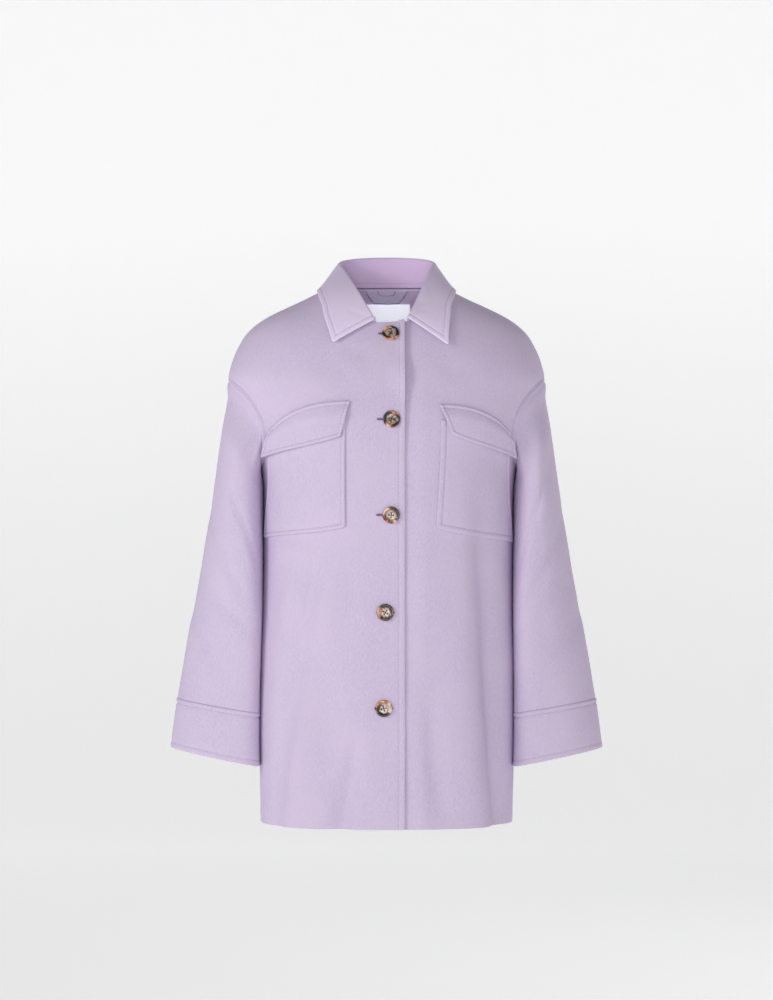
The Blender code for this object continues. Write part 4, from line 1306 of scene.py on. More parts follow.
class SleeveSection(NamedTuple):
    """A section of the sleeve, from the upper arm down. Its inner edge lies on the body's side, nested forward."""

    outer_x: float
    outer_height: float
    inner_height: float
    half_depth: float
    forward: float
    nest: float


class SleeveFold(NamedTuple):
    """A soft fold across a sleeve: its turn from the outer edge to the front, place down it, slant and depth."""

    turn: float
    place: float
    slant: float
    width: float
    reach: float
    depth: float


@dataclass
class Sleeves(Assembly):
    """Dropped-shoulder sleeves and the deep bands at their ends."""

    clearance: float = 0.5
    squareness: float = 2.9
    nest_clearance: float = 1.2
    nest_turns: tuple[float, float, float, float] = (180.0, 192.0, 217.0, 262.0)
    columns: int = 120
    cap_start_pull: float = 0.72
    cap_end_pull: float = 0.75
    cap_follow_start: float = 0.25
    cap_follow: float = 3.0
    cap_rise: float = 0.3
    cap_bump: float = 2.2
    mitre: float = 0.6
    first_step: float = 1 / 9
    coarse: float = 5.0
    sleeve_length: float = 400.0
    cap_length: float = 95.0
    cuff_length: float = 92.0
    cuff_step: float = 3.2
    cuff_cloth: float = 2.6
    cuff_seam_inset: float = 6.2
    cuff_hem_inset: float = 7.5
    sleeve_cut: Cut = Cut(423, 445, 0.73)
    cuff_cut: Cut = Cut(365, 71, 0.98)
    sections: tuple[SleeveSection, ...] = table(
        SleeveSection,
        (227.5, -190, -266, 73, 0, 0), (236, -255, -318, 74, 1, 8), (247, -325, -376, 71, 3, 22),
        (258.3, -393, -434, 67, 5, 35), (270, -454, -486, 62, 8, 37), (281.5, -518, -542, 57, 10, 34),
        (287.5, -555, -573, 54, 12, 32),
    )
    cuff_sections: tuple[SleeveSection, ...] = table(
        SleeveSection,
        (288, -555.15, -573.15, 54.4, 12, 32), (291.5, -579, -598, 54.2, 12.5, 31),
        (297, -622.5, -646, 53, 13.5, 30),
    )
    folds: tuple[SleeveFold, ...] = table(
        SleeveFold,
        (78, 120, 0.5, 13, 55, -2), (60, 205, 0.35, 15, 60, -2.4), (95, 262, -0.3, 12, 45, -1.7),
        (40, 330, 0.25, 16, 55, -1.8), (250, 150, -0.4, 14, 60, -2.4), (285, 236, -0.3, 16, 65, -2.8),
        (262, 300, 0.3, 13, 50, -2), (300, 372, -0.2, 15, 50, -1.8),
    )
    fold_stretch: float = 1.1
    ridge_width: float = 1.3
    lump_height: float = 0.15
    rest_turn: float = 205.0
    rest_calm: Pair = (35.0, 75.0)

    def rings(self, side: Side, sections: Sequence[SleeveSection], shares: Sequence[float]) -> list[Array]:
        """The rings of points at shares of the way along a table of sections."""
        places = np.linspace(0, 1, len(sections))
        columns = list(zip(*sections))
        read = [SleeveSection(*[float(smooth(places, column, share)) for column in columns]) for share in shares]
        return [self.ring(side, section) for section in read]

    def ring(self, side: Side, section: SleeveSection) -> Array:
        """Points round a section, from its outer edge to the front, the inner edge and the back."""
        turn = np.linspace(0, 2 * np.pi, self.columns, endpoint=False)
        height = section.inner_height
        inner_y = -section.forward - section.nest
        angle = self.form.angle_at_depth(height, inner_y, side)
        inner = self.form.base(angle, height) + [side.value * self.clearance, 0.0, 0.0]
        outer = np.array([side.value * section.outer_x, -section.forward, section.outer_height])
        middle, half = (outer + inner) / 2, (outer - inner) / 2
        reach = section.half_depth - np.sign(np.sin(turn)) * section.nest / 2
        depth = reach[:, None] * [0.0, -1.0, 0.0]
        front_inner = (np.cos(turn) < 0) & (np.sin(turn) > 0)
        power = np.where(front_inner, 2 / self.squareness, 1.0)
        across = np.sign(np.cos(turn)) * np.abs(np.cos(turn)) ** power
        along = np.sign(np.sin(turn)) * np.abs(np.sin(turn)) ** power
        points = middle + across[:, None] * half + along[:, None] * depth
        return self.nested(side, points, np.degrees(turn))

    def nested(self, side: Side, points: Array, turn: Array) -> Array:
        """Lays the sleeve's inner edge against the body, where it goes behind the body's side.

        Args:
            side: The wearer's side.
            points: A ring of points round the sleeve.
            turn: Their turns in degrees.

        Returns:
            The ring, drawn in.
        """
        first, full, last, end = self.nest_turns
        weight = step((turn - first) / (full - first)) * step((end - turn) / (end - last))
        height = points[:, 2]
        middle = self.form.ring("shift", height)
        angle = np.degrees(np.arctan2(points[:, 0] - middle, -points[:, 1]))
        surface = middle + self.form.radius(angle, height) * np.sin(np.radians(angle))
        outside = side.value * (points[:, 0] - surface) - self.nest_clearance
        drawn = points.copy()
        drawn[:, 0] -= side.value * weight * np.maximum(outside, 0.0)
        return self.form.kept_off(drawn, self.clearance)

    def armhole(self, side: Side) -> tuple[Array, Array]:
        """Points and outward normals round an armhole: top, front, underarm and back."""
        rows = self.columns // 2
        front = self.form.armhole_edge(side, -1, rows)[::-1]
        back = self.form.armhole_edge(side, 1, rows)[1:-1]
        loop = np.concatenate([front, back])
        return self.form.point(loop[:, 0], loop[:, 1]), self.form.normal(loop[:, 0], loop[:, 1])

    def start(self, points: Array, normals: Array) -> tuple[Array, Array]:
        """The sleeve's first ring, a seam's gap from the armhole, and the way it sets out."""
        across = unit(np.cross(np.roll(points, -1, 0) - np.roll(points, 1, 0), normals))
        inwards = points.mean(0) - points
        across *= np.sign((across * inwards).sum(1, keepdims=True))
        down = np.array([0.0, 0.0, -1.0])
        follow = np.clip((across * down).sum(1, keepdims=True) + self.cap_follow_start, 0, 1)
        heading = unit(down + self.cap_follow * follow * across)
        bend = np.clip(-(heading * normals).sum(1, keepdims=True), 0, 1)
        away = unit(across + heading + self.cap_rise * normals)
        return points + (SEAM_GAP + self.mitre * CLOTH * bend) * away, heading

    def sleeve_sheet(self, side: Side) -> ClothSheet:
        """The sleeve's cloth, from the armhole down to the cuff seam."""
        points, normals = self.armhole(side)
        shares = graded(self.sleeve_length, self.coarse, False, True)
        rings = self.rings(side, self.sections, shares)
        beside = self.rings(side, self.sections, [self.first_step])[0]
        length = np.linalg.norm(rings[0] - points, axis=1, keepdims=True)
        start, heading = self.start(points, normals)
        pull_start = heading * length * self.cap_start_pull
        pull_end = unit(beside - rings[0]) * length * self.cap_end_pull
        cap = [
            hermite(t, start, pull_start, rings[0], pull_end)
            for t in graded(self.cap_length, self.coarse, True, False)[:-1]
        ]
        return ClothSheet(np.stack(cap + rings, 1)[:: side.value], CLOTH, True)

    def crumple(self, sheet: ClothSheet, side: Side) -> None:
        """Lays the sleeve's soft folds, clear of the inner edge that rests beside the body."""
        columns = sheet.base.shape[0]
        turn = np.degrees(np.linspace(0, 2 * np.pi, columns, endpoint=False))[:: side.value, None]
        place = sheet.along(1)
        near, far = self.rest_calm
        calm = step((np.abs(wrapped(turn - self.rest_turn)) - near) / (far - near))
        relief = np.zeros(place.shape)
        for fold in self.folds:
            around = wrapped(turn - fold.turn) * self.fold_stretch
            down = place - fold.place - fold.slant * around
            shape = crease_shape(down, fold.width, self.ridge_width)
            relief = relief + fold.depth * shape * bell(around, fold.reach)
        x, y, z = np.moveaxis(sheet.base, -1, 0)
        relief = relief + self.lump_height * (np.sin(x / 17 + z / 23) + np.sin(y / 19 - z / 31))
        ends = step((sheet.nearest(sheet.edges()) - 4.0) / 16.0)
        down = sheet.distance(Edge.FIRST_ROW)
        bump = self.cap_bump * step(down / 7.0) * step((26.0 - down) / 17.0)
        outwards = step((side.value * sheet.normals[..., 0] - 0.3) / 0.5)
        sheet.move(relief * calm * ends + bump * outwards)

    def build(self) -> None:
        """Builds both sleeves and cuffs with their topstitching."""
        for side in (Side.RIGHT, Side.LEFT):
            sleeve = f"{side.label}_sleeve"
            sheet = self.sleeve_sheet(side)
            self.crumple(sheet, side)
            sheet.finish_edges([], (Edge.LAST_ROW,))
            self.add(sheet, sleeve, self.sleeve_cut, on=[f"{side.label}_front", "back"])
            rings = self.rings(side, self.cuff_sections, graded(self.cuff_length, self.cuff_step))
            cuff = ClothSheet(np.stack(rings, 1)[:: side.value], self.cuff_cloth, True)
            runs = [
                SeamRun((Edge.FIRST_ROW,), self.cuff_seam_inset, 0.8, 0.95, 1.5),
                SeamRun((Edge.LAST_ROW,), self.cuff_hem_inset, 0.35, 0.45),
            ]
            paths = cuff.finish_edges(runs, (Edge.FIRST_ROW,))
            self.add(cuff, f"{side.label}_cuff", self.cuff_cut, paths, on=[sleeve])


class CollarPoint(NamedTuple):
    """A place along the collar, from the right front end at 0 round the back at 0.5 to the left end at 1."""

    along: float
    x: float
    y: float
    height: float


class CollarEdgePoint(NamedTuple):
    """Where the collar's free edge lies over the body, along the collar from end to end."""

    along: float
    angle: float
    height: float


@dataclass
class Collar(Assembly):
    """The stand and fall in one piece, rolled over at the fold line."""

    cloth: float = 2.6
    clearance: float = 1.0
    right_end: float = -14.0
    left_end: float = 27.5
    stand_length: float = 26.0
    fall_length: float = 62.0
    roll_rows: int = 10
    roll_radius_end: float = 3.0
    roll_radius_back: float = 4.4
    fall_bow: float = 1.8
    leaf_lift: float = 4.2
    leaf_reach: float = 0.16
    painted_light_back_fade: float = 0.7
    stand_step: float = 2.5
    fall_step: float = 2.6
    coarse: float = 3.4
    edge_inset: float = 7.2
    stand_inset: float = 6.5
    tip_radius: float = 4.5
    cut: Cut = Cut(520, 100, 0.93)
    fold_line: tuple[CollarPoint, ...] = table(
        CollarPoint,
        (0, -14.5, -93.5, -38.6), (0.07, -23.5, -80.5, -23.5), (0.14, -34.5, -60, -4), (0.21, -46, -31, 16),
        (0.28, -56.5, 4, 34.5), (0.36, -62.5, 38, 48), (0.43, -44, 64, 54.5), (0.5, 0.5, 75, 57),
        (0.57, 45.5, 64, 54.5), (0.64, 64.5, 38, 48), (0.72, 58, 4, 32.5), (0.79, 50, -30, 12.5),
        (0.86, 41.5, -58, -7.5), (0.93, 33.5, -81.5, -25), (1, 27.5, -94.5, -36.4),
    )
    free_edge: tuple[CollarEdgePoint, ...] = table(
        CollarEdgePoint,
        (0, -34.4, -74), (0.06, -40, -54.5), (0.12, -47.5, -35), (0.18, -57, -16.5), (0.24, -73, -2.2),
        (0.3, -92, 2.6), (0.4, -133, -2), (0.5, -180, -8), (0.6, -227, -2), (0.7, -268, 2.6), (0.76, -287, -2.2),
        (0.82, -303, -16.5), (0.88, -312, -36), (0.94, -318, -56.5), (1, -321.8, -77.5),
    )

    def places(self) -> tuple[Array, Array]:
        """Angles of the collar's columns at the neck seam, and their shares along it."""
        form = self.form
        low = form.neck_height(0.0)
        first = float(form.angle_at_width(low, self.right_end))
        last = float(form.angle_at_width(low, self.left_end)) - 360.0
        angles = np.linspace(first, last, 721)
        neck = form.base(angles, form.neck_height(angles))
        run = np.append(0.0, np.cumsum(np.linalg.norm(np.diff(neck, axis=0), axis=1)))
        shares = graded(float(run[-1]), self.coarse)
        return np.interp(shares, run / run[-1], angles), shares

    def seam(self, angles: Array, fold: Array) -> tuple[Array, Array]:
        """The stand's lower edge, just above the panels' neck edge, and the body's normals there."""
        heights = self.form.neck_height(angles)
        plain = wrapped(angles)
        on_left = (plain > 0) & (plain < 90)
        inset = np.where(on_left, self.form.underlap_inset(plain, heights), 0.0)
        normals = self.form.normal(angles, heights)
        rim = self.form.point(angles, heights, -inset - CLOTH / 2)
        rise = unit(fold - rim)
        face = square_to(normals, rise)
        lean = np.hypot(rise[:, 0], rise[:, 1])
        lift = SEAM_GAP / 2 + self.cloth / 2 * lean + CLOTH / 2 * np.abs(normals[:, 2]) + inset / 3
        return rim - face * self.cloth / 2 + lift[:, None] * [0.0, 0.0, 1.0], normals

    def sheet(self) -> ClothSheet:
        """The collar's cloth, from the neck seam up, over the roll and down to its free edge."""
        angles, along = self.places()
        lines = list(zip(*self.fold_line))
        fold = np.stack([smooth(lines[0], column, along) for column in lines[1:]], -1)
        edges = list(zip(*self.free_edge))
        edge_angle = smooth(edges[0], edges[1], along)
        edge_height = smooth(edges[0], edges[2], along)
        seam, normals = self.seam(angles, fold)
        clearance = self.cloth + self.clearance
        edge = self.form.point(edge_angle, edge_height, clearance)
        up = unit(fold - (seam + edge) / 2)
        outwards = square_to(normals, up)
        back_share = step(1 - np.abs(2 * along - 1))[:, None]
        radius = blend(self.roll_radius_end, self.roll_radius_back, back_share)
        middle = fold - radius * up
        inner, outer = middle - radius * outwards, middle + radius * outwards
        rows = [blend(seam, inner, t) for t in graded(self.stand_length, self.stand_step, True, False)[:-1]]
        for turn in np.linspace(np.pi, 0, self.roll_rows + 1):
            rows.append(middle + radius * (math.cos(turn) * outwards + math.sin(turn) * up))
        first_fall = len(rows)
        near_ends = step(1 - np.minimum(along, 1 - along) / self.leaf_reach)[:, None]
        for t in graded(self.fall_length, self.fall_step, False, True)[1:]:
            bow = arch(t) * self.fall_bow + self.leaf_lift * near_ends * t**2
            rows.append(blend(outer, edge, t) + bow * outwards)
        points = np.stack(rows, 1)
        points[:, first_fall:] = self.form.kept_off(points[:, first_fall:], clearance)
        # Painted light: the stand's inner face takes the inside colour for light bounced in the shaded neck, and the
        # fall takes a paler colour as painted light, less of it round the back.
        inside = step((first_fall - self.roll_rows / 2 - np.arange(len(rows))) / self.roll_rows + 0.5)
        inside = np.broadcast_to(inside[None], points.shape[:2])
        painted_fall_light = (1 - inside) * (1 - self.painted_light_back_fade * back_share)
        return ClothSheet(points, self.cloth, marks={"inside": inside, "painted_fall_light": painted_fall_light})

    def build(self) -> None:
        """Builds the collar and its topstitching."""
        sheet = self.sheet()
        for end in COLUMNS:
            sheet.round_corner(end, Edge.LAST_ROW, self.tip_radius)
        runs = [
            SeamRun((*COLUMNS, Edge.LAST_ROW), self.edge_inset, 0.35, 0.4, 1.5),
            SeamRun((Edge.FIRST_ROW,), self.stand_inset, 0.3, 0.4),
        ]
        paths = sheet.finish_edges(runs, (Edge.FIRST_ROW,))
        self.add(sheet, "collar", self.cut, paths, hold=Hold.FOLDED, on=["back", "right_front", "left_front"])


class PatchPlan(NamedTuple):
    """A pocket bag or flap on one front, by the angles and heights of its corners."""

    side: Side
    inner_top_angle: float
    inner_bottom_angle: float
    outer_top_angle: float
    outer_bottom_angle: float
    inner_top: float
    inner_bottom: float
    outer_top: float
    outer_bottom: float
    inset: float
    cut: Cut


@dataclass
class Pockets(Assembly):
    """Patch pocket bags, and the flaps that cover their tops."""

    cloth: float = 2.0
    gap: float = 0.6
    flap_stand: float = 3.6
    flap_rows: int = 5
    corner_lift: float = 2.6
    top_droop: float = 2.7
    flap_bottom_droop: float = 0.8
    bag_bottom_droop: float = 0.6
    bag_puff: float = 1.6
    coarse: float = 3.0
    bag_size: Pair = (150.0, 150.0)
    flap_size: Pair = (150.0, 52.0)
    bag_corner: float = 4.0
    flap_corner: float = 3.0
    bags: tuple[PatchPlan, ...] = (
        PatchPlan(Side.RIGHT, 23.5, 23.0, 66.0, 77.5, -171, -318, -210, -335, 5.6, Cut(165, 155, 0.83)),
        PatchPlan(Side.LEFT, 28.0, 25.5, 66.0, 77.5, -176, -319, -212, -341, 7.6, Cut(158, 154, 0.82)),
    )
    flaps: tuple[PatchPlan, ...] = (
        PatchPlan(Side.RIGHT, 21.0, 25.5, 62.5, 70.5, -150.5, -197.5, -189.0, -224.5, 5.0, Cut(141, 60, 0.77)),
        PatchPlan(Side.LEFT, 28.0, 32.5, 63.0, 70.5, -155.0, -194.5, -191.0, -226.0, 5.0, Cut(123, 57, 0.73)),
    )

    def plan_grid(self, plan: PatchPlan, bottom_droop: float, size: Pair) -> tuple[Array, ...]:
        """A patch's grid over the body.

        Args:
            plan: The patch's corners.
            bottom_droop: How its lower edge falls from the inner to the outer corner.
            size: Its rough width and height.

        Returns:
            Angles, heights, and shares across and up.
        """
        s = graded(size[0], self.coarse)[:, None]
        t = graded(size[1], self.coarse)[None]
        bottom_angle = blend(plan.inner_bottom_angle, plan.outer_bottom_angle, s)
        top_angle = blend(plan.inner_top_angle, plan.outer_top_angle, s)
        bottom = blend(plan.inner_bottom, plan.outer_bottom, s**bottom_droop)
        top = blend(plan.inner_top, plan.outer_top, s**self.top_droop)
        return plan.side.value * blend(bottom_angle, top_angle, t), blend(bottom, top, t), s, t

    def patch(self, plan: PatchPlan, angle: Array, height: Array, stand: Array, corner: float) -> ClothSheet:
        """A patch's cloth over its front, with its lower corners rounded.

        Args:
            plan: The patch's plan.
            angle: The angles of its grid.
            height: The heights of its grid.
            stand: How far it stands off its usual gap.
            corner: The corners' radius.

        Returns:
            The cloth.
        """
        points = self.form.front_point(plan.side, angle, height, self.gap + self.cloth + stand)
        sheet = ClothSheet(points[:: plan.side.value], self.cloth)
        for edge in inner_and_outer(plan.side):
            sheet.round_corner(edge, Edge.FIRST_ROW, corner)
        return sheet

    def build_bag(self, plan: PatchPlan) -> None:
        """Builds a pocket bag, puffed a little between its stitched edges."""
        angle, height, s, t = self.plan_grid(plan, self.bag_bottom_droop, self.bag_size)
        puff = self.bag_puff * (16 * s * (1 - s) * t * (1 - t)) ** 1.5 * step((0.75 - t) / 0.3)
        sheet = self.patch(plan, angle, height, puff, self.bag_corner)
        paths = sheet.finish_edges([SeamRun((*inner_and_outer(plan.side), Edge.FIRST_ROW), plan.inset)])
        name = plan.side.label
        self.add(sheet, f"{name}_pocket", plan.cut, paths, hold=Hold.LAID, on=[f"{name}_front"])

    def build_flap(self, plan: PatchPlan) -> None:
        """Builds a flap that stands off the bag towards its lower edge."""
        angle, height, s, t = self.plan_grid(plan, self.flap_bottom_droop, self.flap_size)
        stand = self.flap_stand * step((1 - t) * self.flap_rows / 2) + self.corner_lift * s**3 * (1 - t)
        sheet = self.patch(plan, angle, height, stand, self.flap_corner)
        runs = [
            SeamRun((Edge.LAST_ROW,), plan.inset, 0.9, 0.6),
            SeamRun((*inner_and_outer(plan.side), Edge.FIRST_ROW), plan.inset, 0.5, 0.3),
        ]
        paths = sheet.finish_edges(runs)
        name = plan.side.label
        self.add(sheet, f"{name}_pocket_flap", plan.cut, paths, on=[f"{name}_front"])

    def build(self) -> None:
        """Builds the bags and the flaps."""
        for plan in self.bags:
            self.build_bag(plan)
        for plan in self.flaps:
            self.build_flap(plan)


@dataclass
class NeckInside(Assembly):
    """The facing, the blank label and the hanger loop inside the back neck."""

    facing_cloth: float = 1.2
    facing_depth: float = CLOTH + SEAM_GAP
    label_depth: float = facing_depth + facing_cloth + SEAM_GAP
    facing_low_reach: float = 47.3
    facing_top_reach: float = 45.4
    facing_low: float = -30.5
    facing_droop: float = 5.4
    label_width: float = 68.0
    label_top: float = -7.0
    label_bottom: float = -50.0
    label_cloth: float = 1.0
    label_stand: float = 0.5
    loop_top: float = 12.5
    loop_outer: tuple[Pair, ...] = ((-34.0, 0.0), (-26.25, -9.5), (-18.5, -18.0), (0.0, -19.0))
    loop_inner: tuple[Pair, ...] = ((-12.0, 0.0), (-12.0, -2.75), (-9.0, -5.5), (0.0, -6.0))
    loop_cloth: float = 1.0
    loop_stand: float = 2.4
    facing_cut: Cut = Cut(180, 50, 0.95)
    label_cut: Cut = Cut(67, 47.5, 1.0)
    loop_cut: Cut = Cut(60, 17, 0.9)
    facing_size: Pair = (150.0, 46.0)
    facing_step: float = 2.5
    label_grid: tuple[int, int] = (60, 40)
    loop_grid: tuple[int, int] = (49, 15)

    def build_facing(self) -> None:
        """Builds the strip of wool below the neck seam."""
        width, height = self.facing_size
        across = graded(width, self.facing_step)[:, None] * 2 - 1
        t = graded(height, self.facing_step)[None]
        angles = 180.0 + across * (self.facing_low_reach * (1 - t) + self.facing_top_reach * t)
        low = self.facing_low - self.facing_droop * across**2
        heights = blend(low, self.form.neck_height(angles), t)
        sheet = ClothSheet(self.form.point(angles, heights, -self.facing_depth), self.facing_cloth)
        sheet.finish_edges([])
        piece = sheet.build("back_neck_facing_wool", self.finishes.wool_painted_light)
        hand_over(piece, "back_neck_facing", Slot.WOOL, self.facing_cut, Hold.LAID, ["back"])

    def build_label(self) -> None:
        """Builds the blank white label, held flat at its two ends."""
        columns, rows = self.label_grid
        across = np.linspace(self.label_width / 2, -self.label_width / 2, columns)[:, None]
        heights = np.linspace(self.label_bottom, self.label_top, rows)[None]
        angle = 180.0 - np.degrees(np.arctan2(across, self.form.ring("back", heights)))
        points = self.form.point(angle, heights, -self.label_depth - self.label_stand)
        sheet = ClothSheet(points, self.label_cloth)
        # It ripples a little between its two sewn ends.
        sheet.move(0.2 * np.sin(across / 9 + heights / 14) * step((34 - np.abs(across)) / 12))
        sheet.finish_edges([])
        piece = sheet.build("neck_label_satin", self.finishes.label)
        hand_over(piece, "neck_label", Slot.LABEL, self.label_cut, Hold.LAID, ["back_neck_facing"])

    def loop_line(self, half: Sequence[Pair]) -> Array:
        """One edge of the ribbon.

        Args:
            half: Its left half: places across and down from the neck seam, from the end to the middle.

        Returns:
            Places at even steps along the whole edge.
        """
        line = np.array([*half, *[(-x, z) for x, z in half[-2::-1]]])
        corners = np.arange(len(line))
        at = np.linspace(0, len(line) - 1, self.loop_grid[0])
        return np.stack([np.interp(at, corners, line[:, k]) for k in (0, 1)], -1)

    def build_loop(self) -> None:
        """Builds the ribbon whose two ends leave the neck seam."""
        outer, inner = self.loop_line(self.loop_outer), self.loop_line(self.loop_inner)
        shares = np.linspace(0, 1, self.loop_grid[1])[:, None, None]
        plan = outer * (1 - shares) + inner * shares
        heights = self.loop_top + plan[..., 1]
        angle = 180.0 - np.degrees(np.arctan2(plan[..., 0], self.form.ring("back", heights)))
        points = self.form.point(angle, heights, -self.label_depth - self.loop_stand)[:, ::-1]
        sheet = ClothSheet(points, self.loop_cloth)
        sheet.move(0.25 * np.sin(plan[..., 0] / 5)[:, ::-1])
        paths = sheet.finish_edges([SeamRun(COLUMNS, 0.9, 0.0, 0.1)])
        piece = sheet.build("hanger_loop_satin", self.finishes.ribbon)
        hand_over(piece, "hanger_loop", Slot.RIBBON, self.loop_cut, Hold.HUNG, ["back_neck_facing"])
        edging = Topstitching(self.finishes.edge_thread)
        edging.sew("hanger_loop_edging", paths, Slot.RIBBON, spacing=1.1, length=1.2, width=0.9)

    def build(self) -> None:
        """Builds the three pieces."""
        self.build_facing()
        self.build_label()
        self.build_loop()


class ButtonPlace(NamedTuple):
    """The middle of a button on the lapped front, its turn in degrees and how far its buttonhole runs past it."""

    x: float
    height: float
    turn: float
    slit_past: float


class ProfilePoint(NamedTuple):
    """A point of the button's turned outline, down its outer side from the middle of its face."""

    radius: float
    height: float


@dataclass
class Buttons(Assembly):
    """Five four-hole buttons with their thread, and the worked buttonholes beside them."""

    stand: float = 0.4
    steps: int = 56
    hole_radius: float = 1.15
    hole_spread: float = 2.2
    hole_depth: float = 10.0
    rim_start: float = 6.2
    rim_blend: float = 1.6
    thread_radius: float = 0.42
    slit_length: float = 25.0
    slit_half: float = 1.3
    slit_narrow: float = 0.45
    line_stand: float = 0.4
    slit_stand: float = 0.55
    thread_sides: int = 8
    thread_height: float = 2.35
    thread_cross: float = 0.3
    profile: tuple[ProfilePoint, ...] = table(
        ProfilePoint,
        (0, 2.3), (3.2, 2.32), (6.4, 2.5), (7.6, 3), (8.5, 3.55), (9.8, 3.9), (10.7, 3.65), (11.25, 3), (11.45, 2),
        (11.2, 1.2), (10.4, 0.55), (8.6, 0.05), (0, 0),
    )
    places: tuple[ButtonPlace, ...] = table(
        ButtonPlace,
        (5.5, -58.8, 8, 16.5), (6.8, -174.8, 25, 19.5), (6.2, -303, 40, 20), (-1.6, -433.4, 15, 12.4),
        (-3.6, -561.7, 60, 12.6),
    )

    def frame_of(self, place: ButtonPlace) -> Matrix:
        """The button's seat on the lapped front, facing out."""
        angle = self.form.angle_at_width(place.height, place.x)
        seat = self.form.point(angle, place.height, self.stand)
        normal = Vector(self.form.normal(angle, place.height))
        turn = normal.to_track_quat("Z", "Y").to_matrix().to_4x4()
        spin = Matrix.Rotation(math.radians(place.turn), 4, "Z")
        return Matrix.Translation(Vector(seat * MM)) @ turn @ spin

    def blank(self) -> Mesh:
        """The turned button before its holes are cut, with its rim marked for the darker dye."""
        count = len(self.profile)
        fine = np.linspace(0, count - 1, 3 * (count - 1) + 1)
        radii = np.maximum(smooth(range(count), [p.radius for p in self.profile], fine), 0.0)
        heights = smooth(range(count), [p.height for p in self.profile], fine)
        turns = np.linspace(0, 2 * np.pi, self.steps, endpoint=False)
        points = [(0.0, 0.0, heights[0])]
        for radius, height in zip(radii[1:-1], heights[1:-1]):
            points += [(radius * math.cos(a), radius * math.sin(a), height) for a in turns]
        points.append((0.0, 0.0, heights[-1]))
        last = len(points) - 1
        rings = len(fine) - 2
        faces = []
        for i in range(self.steps):
            k = (i + 1) % self.steps
            faces.append((0, 1 + i, 1 + k))
            faces.append((last, last - self.steps + k, last - self.steps + i))
            for ring in range(rings - 1):
                a, b = 1 + ring * self.steps, 1 + (ring + 1) * self.steps
                faces.append((a + i, b + i, b + k, a + k))
        return new_mesh("button_blank", (np.array(points) * MM).tolist(), faces, self.finishes.horn)

    def holes(self) -> Object:
        """Four short rods, which cut the thread holes."""
        rods = []
        for x in (-self.hole_spread, self.hole_spread):
            for y in (-self.hole_spread, self.hole_spread):
                bpy.ops.mesh.primitive_cylinder_add(
                    vertices=20,
                    radius=self.hole_radius * MM,
                    depth=self.hole_depth * MM,
                    location=(x * MM, y * MM, 0.0),
                )
                rods.append(bpy.context.object)
        with bpy.context.temp_override(active_object=rods[0], selected_editable_objects=rods):
            bpy.ops.object.join()
        rod = rods[0]
        rod.data.transform(rod.matrix_world)
        rod.matrix_world = Matrix.Identity(4)
        return rod

    def drilled(self) -> Mesh:
        """The button's mesh with its four holes."""
        whole = new_object("button_turned", self.blank())
        cutter = self.holes()
        cut = whole.modifiers.new("Holes", "BOOLEAN")
        cut.operation = "DIFFERENCE"
        cut.solver = "EXACT"
        cut.object = cutter
        mesh = evaluated_mesh(whole)
        for helper in (whole, cutter):
            bpy.data.objects.remove(helper, do_unlink=True)
        points = np.array([v.co for v in mesh.vertices]) / MM
        rim = step((np.hypot(points[:, 0], points[:, 1]) - self.rim_start) / self.rim_blend)
        write_mark(mesh, "rim", rim)
        return mesh

    def thread(self) -> Mesh:
        """Two crossed strands that go down through the holes."""
        points, faces = [], []
        sides = self.thread_sides
        for sign in (-1, 1):
            run = np.linspace(-1, 1, 11)
            way = np.stack([run * self.hole_spread, sign * run * self.hole_spread], -1)
            sunk = self.thread_radius * (1.2 - 3.5 * np.abs(run) ** 6)
            rise = self.thread_height + sunk + (self.thread_cross if sign > 0 else 0.0)
            aside = np.array([-sign, 1.0]) / math.sqrt(2)
            first = len(points)
            for (x, y), z in zip(way, rise):
                for k in range(sides):
                    turn = 2 * math.pi * k / sides
                    flat = aside * math.cos(turn) * self.thread_radius
                    points.append((x + flat[0], y + flat[1], z + math.sin(turn) * self.thread_radius))
            for i in range(len(run) - 1):
                for k in range(sides):
                    a, b = first + i * sides, first + (i + 1) * sides
                    faces.append((a + k, b + k, b + (k + 1) % sides, a + (k + 1) % sides))
            faces.append(tuple(first + k for k in range(sides)))
            faces.append(tuple(first + (len(run) - 1) * sides + k for k in reversed(range(sides))))
        return new_mesh("button_thread", (np.array(points) * MM).tolist(), faces, self.finishes.hole_thread)

    def buttonhole(self, place: ButtonPlace, name: str) -> StitchPath:
        """Builds a buttonhole's slit as a flat dark sheet, painted shadow in the cut.

        Args:
            place: The button that goes through it.
            name: The slit's name.

        Returns:
            The line round the slit that its close stitches follow.
        """
        form = self.form
        turns = np.linspace(0, 2 * np.pi, 49)
        straight = self.slit_length / 2 - self.slit_half
        centre = place.x - place.slit_past + self.slit_length / 2
        x = centre + self.slit_half * np.cos(turns) + straight * np.sign(np.cos(turns))
        z = place.height + self.slit_half * np.sin(turns)
        angle = form.angle_at_width(z, x)
        line = form.point(angle, z, self.line_stand)
        # The inner sheet is painted shadow where the slit opens.
        inner_z = place.height + self.slit_narrow * self.slit_half * np.sin(turns)
        inner = form.point(form.angle_at_width(inner_z, x), inner_z, self.slit_stand)
        face = [tuple(range(len(turns) - 1))]
        carry(new_object(name, new_mesh(name, (inner[:-1] * MM).tolist(), face, self.finishes.slit)))
        return StitchPath(line, form.normal(angle, z))

    def build(self) -> None:
        """Builds the buttons, their thread and the buttonholes."""
        drilled, thread = self.drilled(), self.thread()
        paths = []
        for number, place in enumerate(self.places, 1):
            seat = self.frame_of(place)
            meshes = [drilled.copy(), thread.copy()]
            for mesh in meshes:
                mesh.transform(seat)
            hand_over(new_object(f"button_{number}_horn", meshes[0]), f"button_{number}", Slot.HORN)
            carry(new_object(f"button_{number}_thread", meshes[1]))
            paths.append(self.buttonhole(place, f"buttonhole_{number}_slit"))
        self.topstitching.sew("buttonhole_stitches", paths, spacing=0.75, length=0.7, width=1.5)


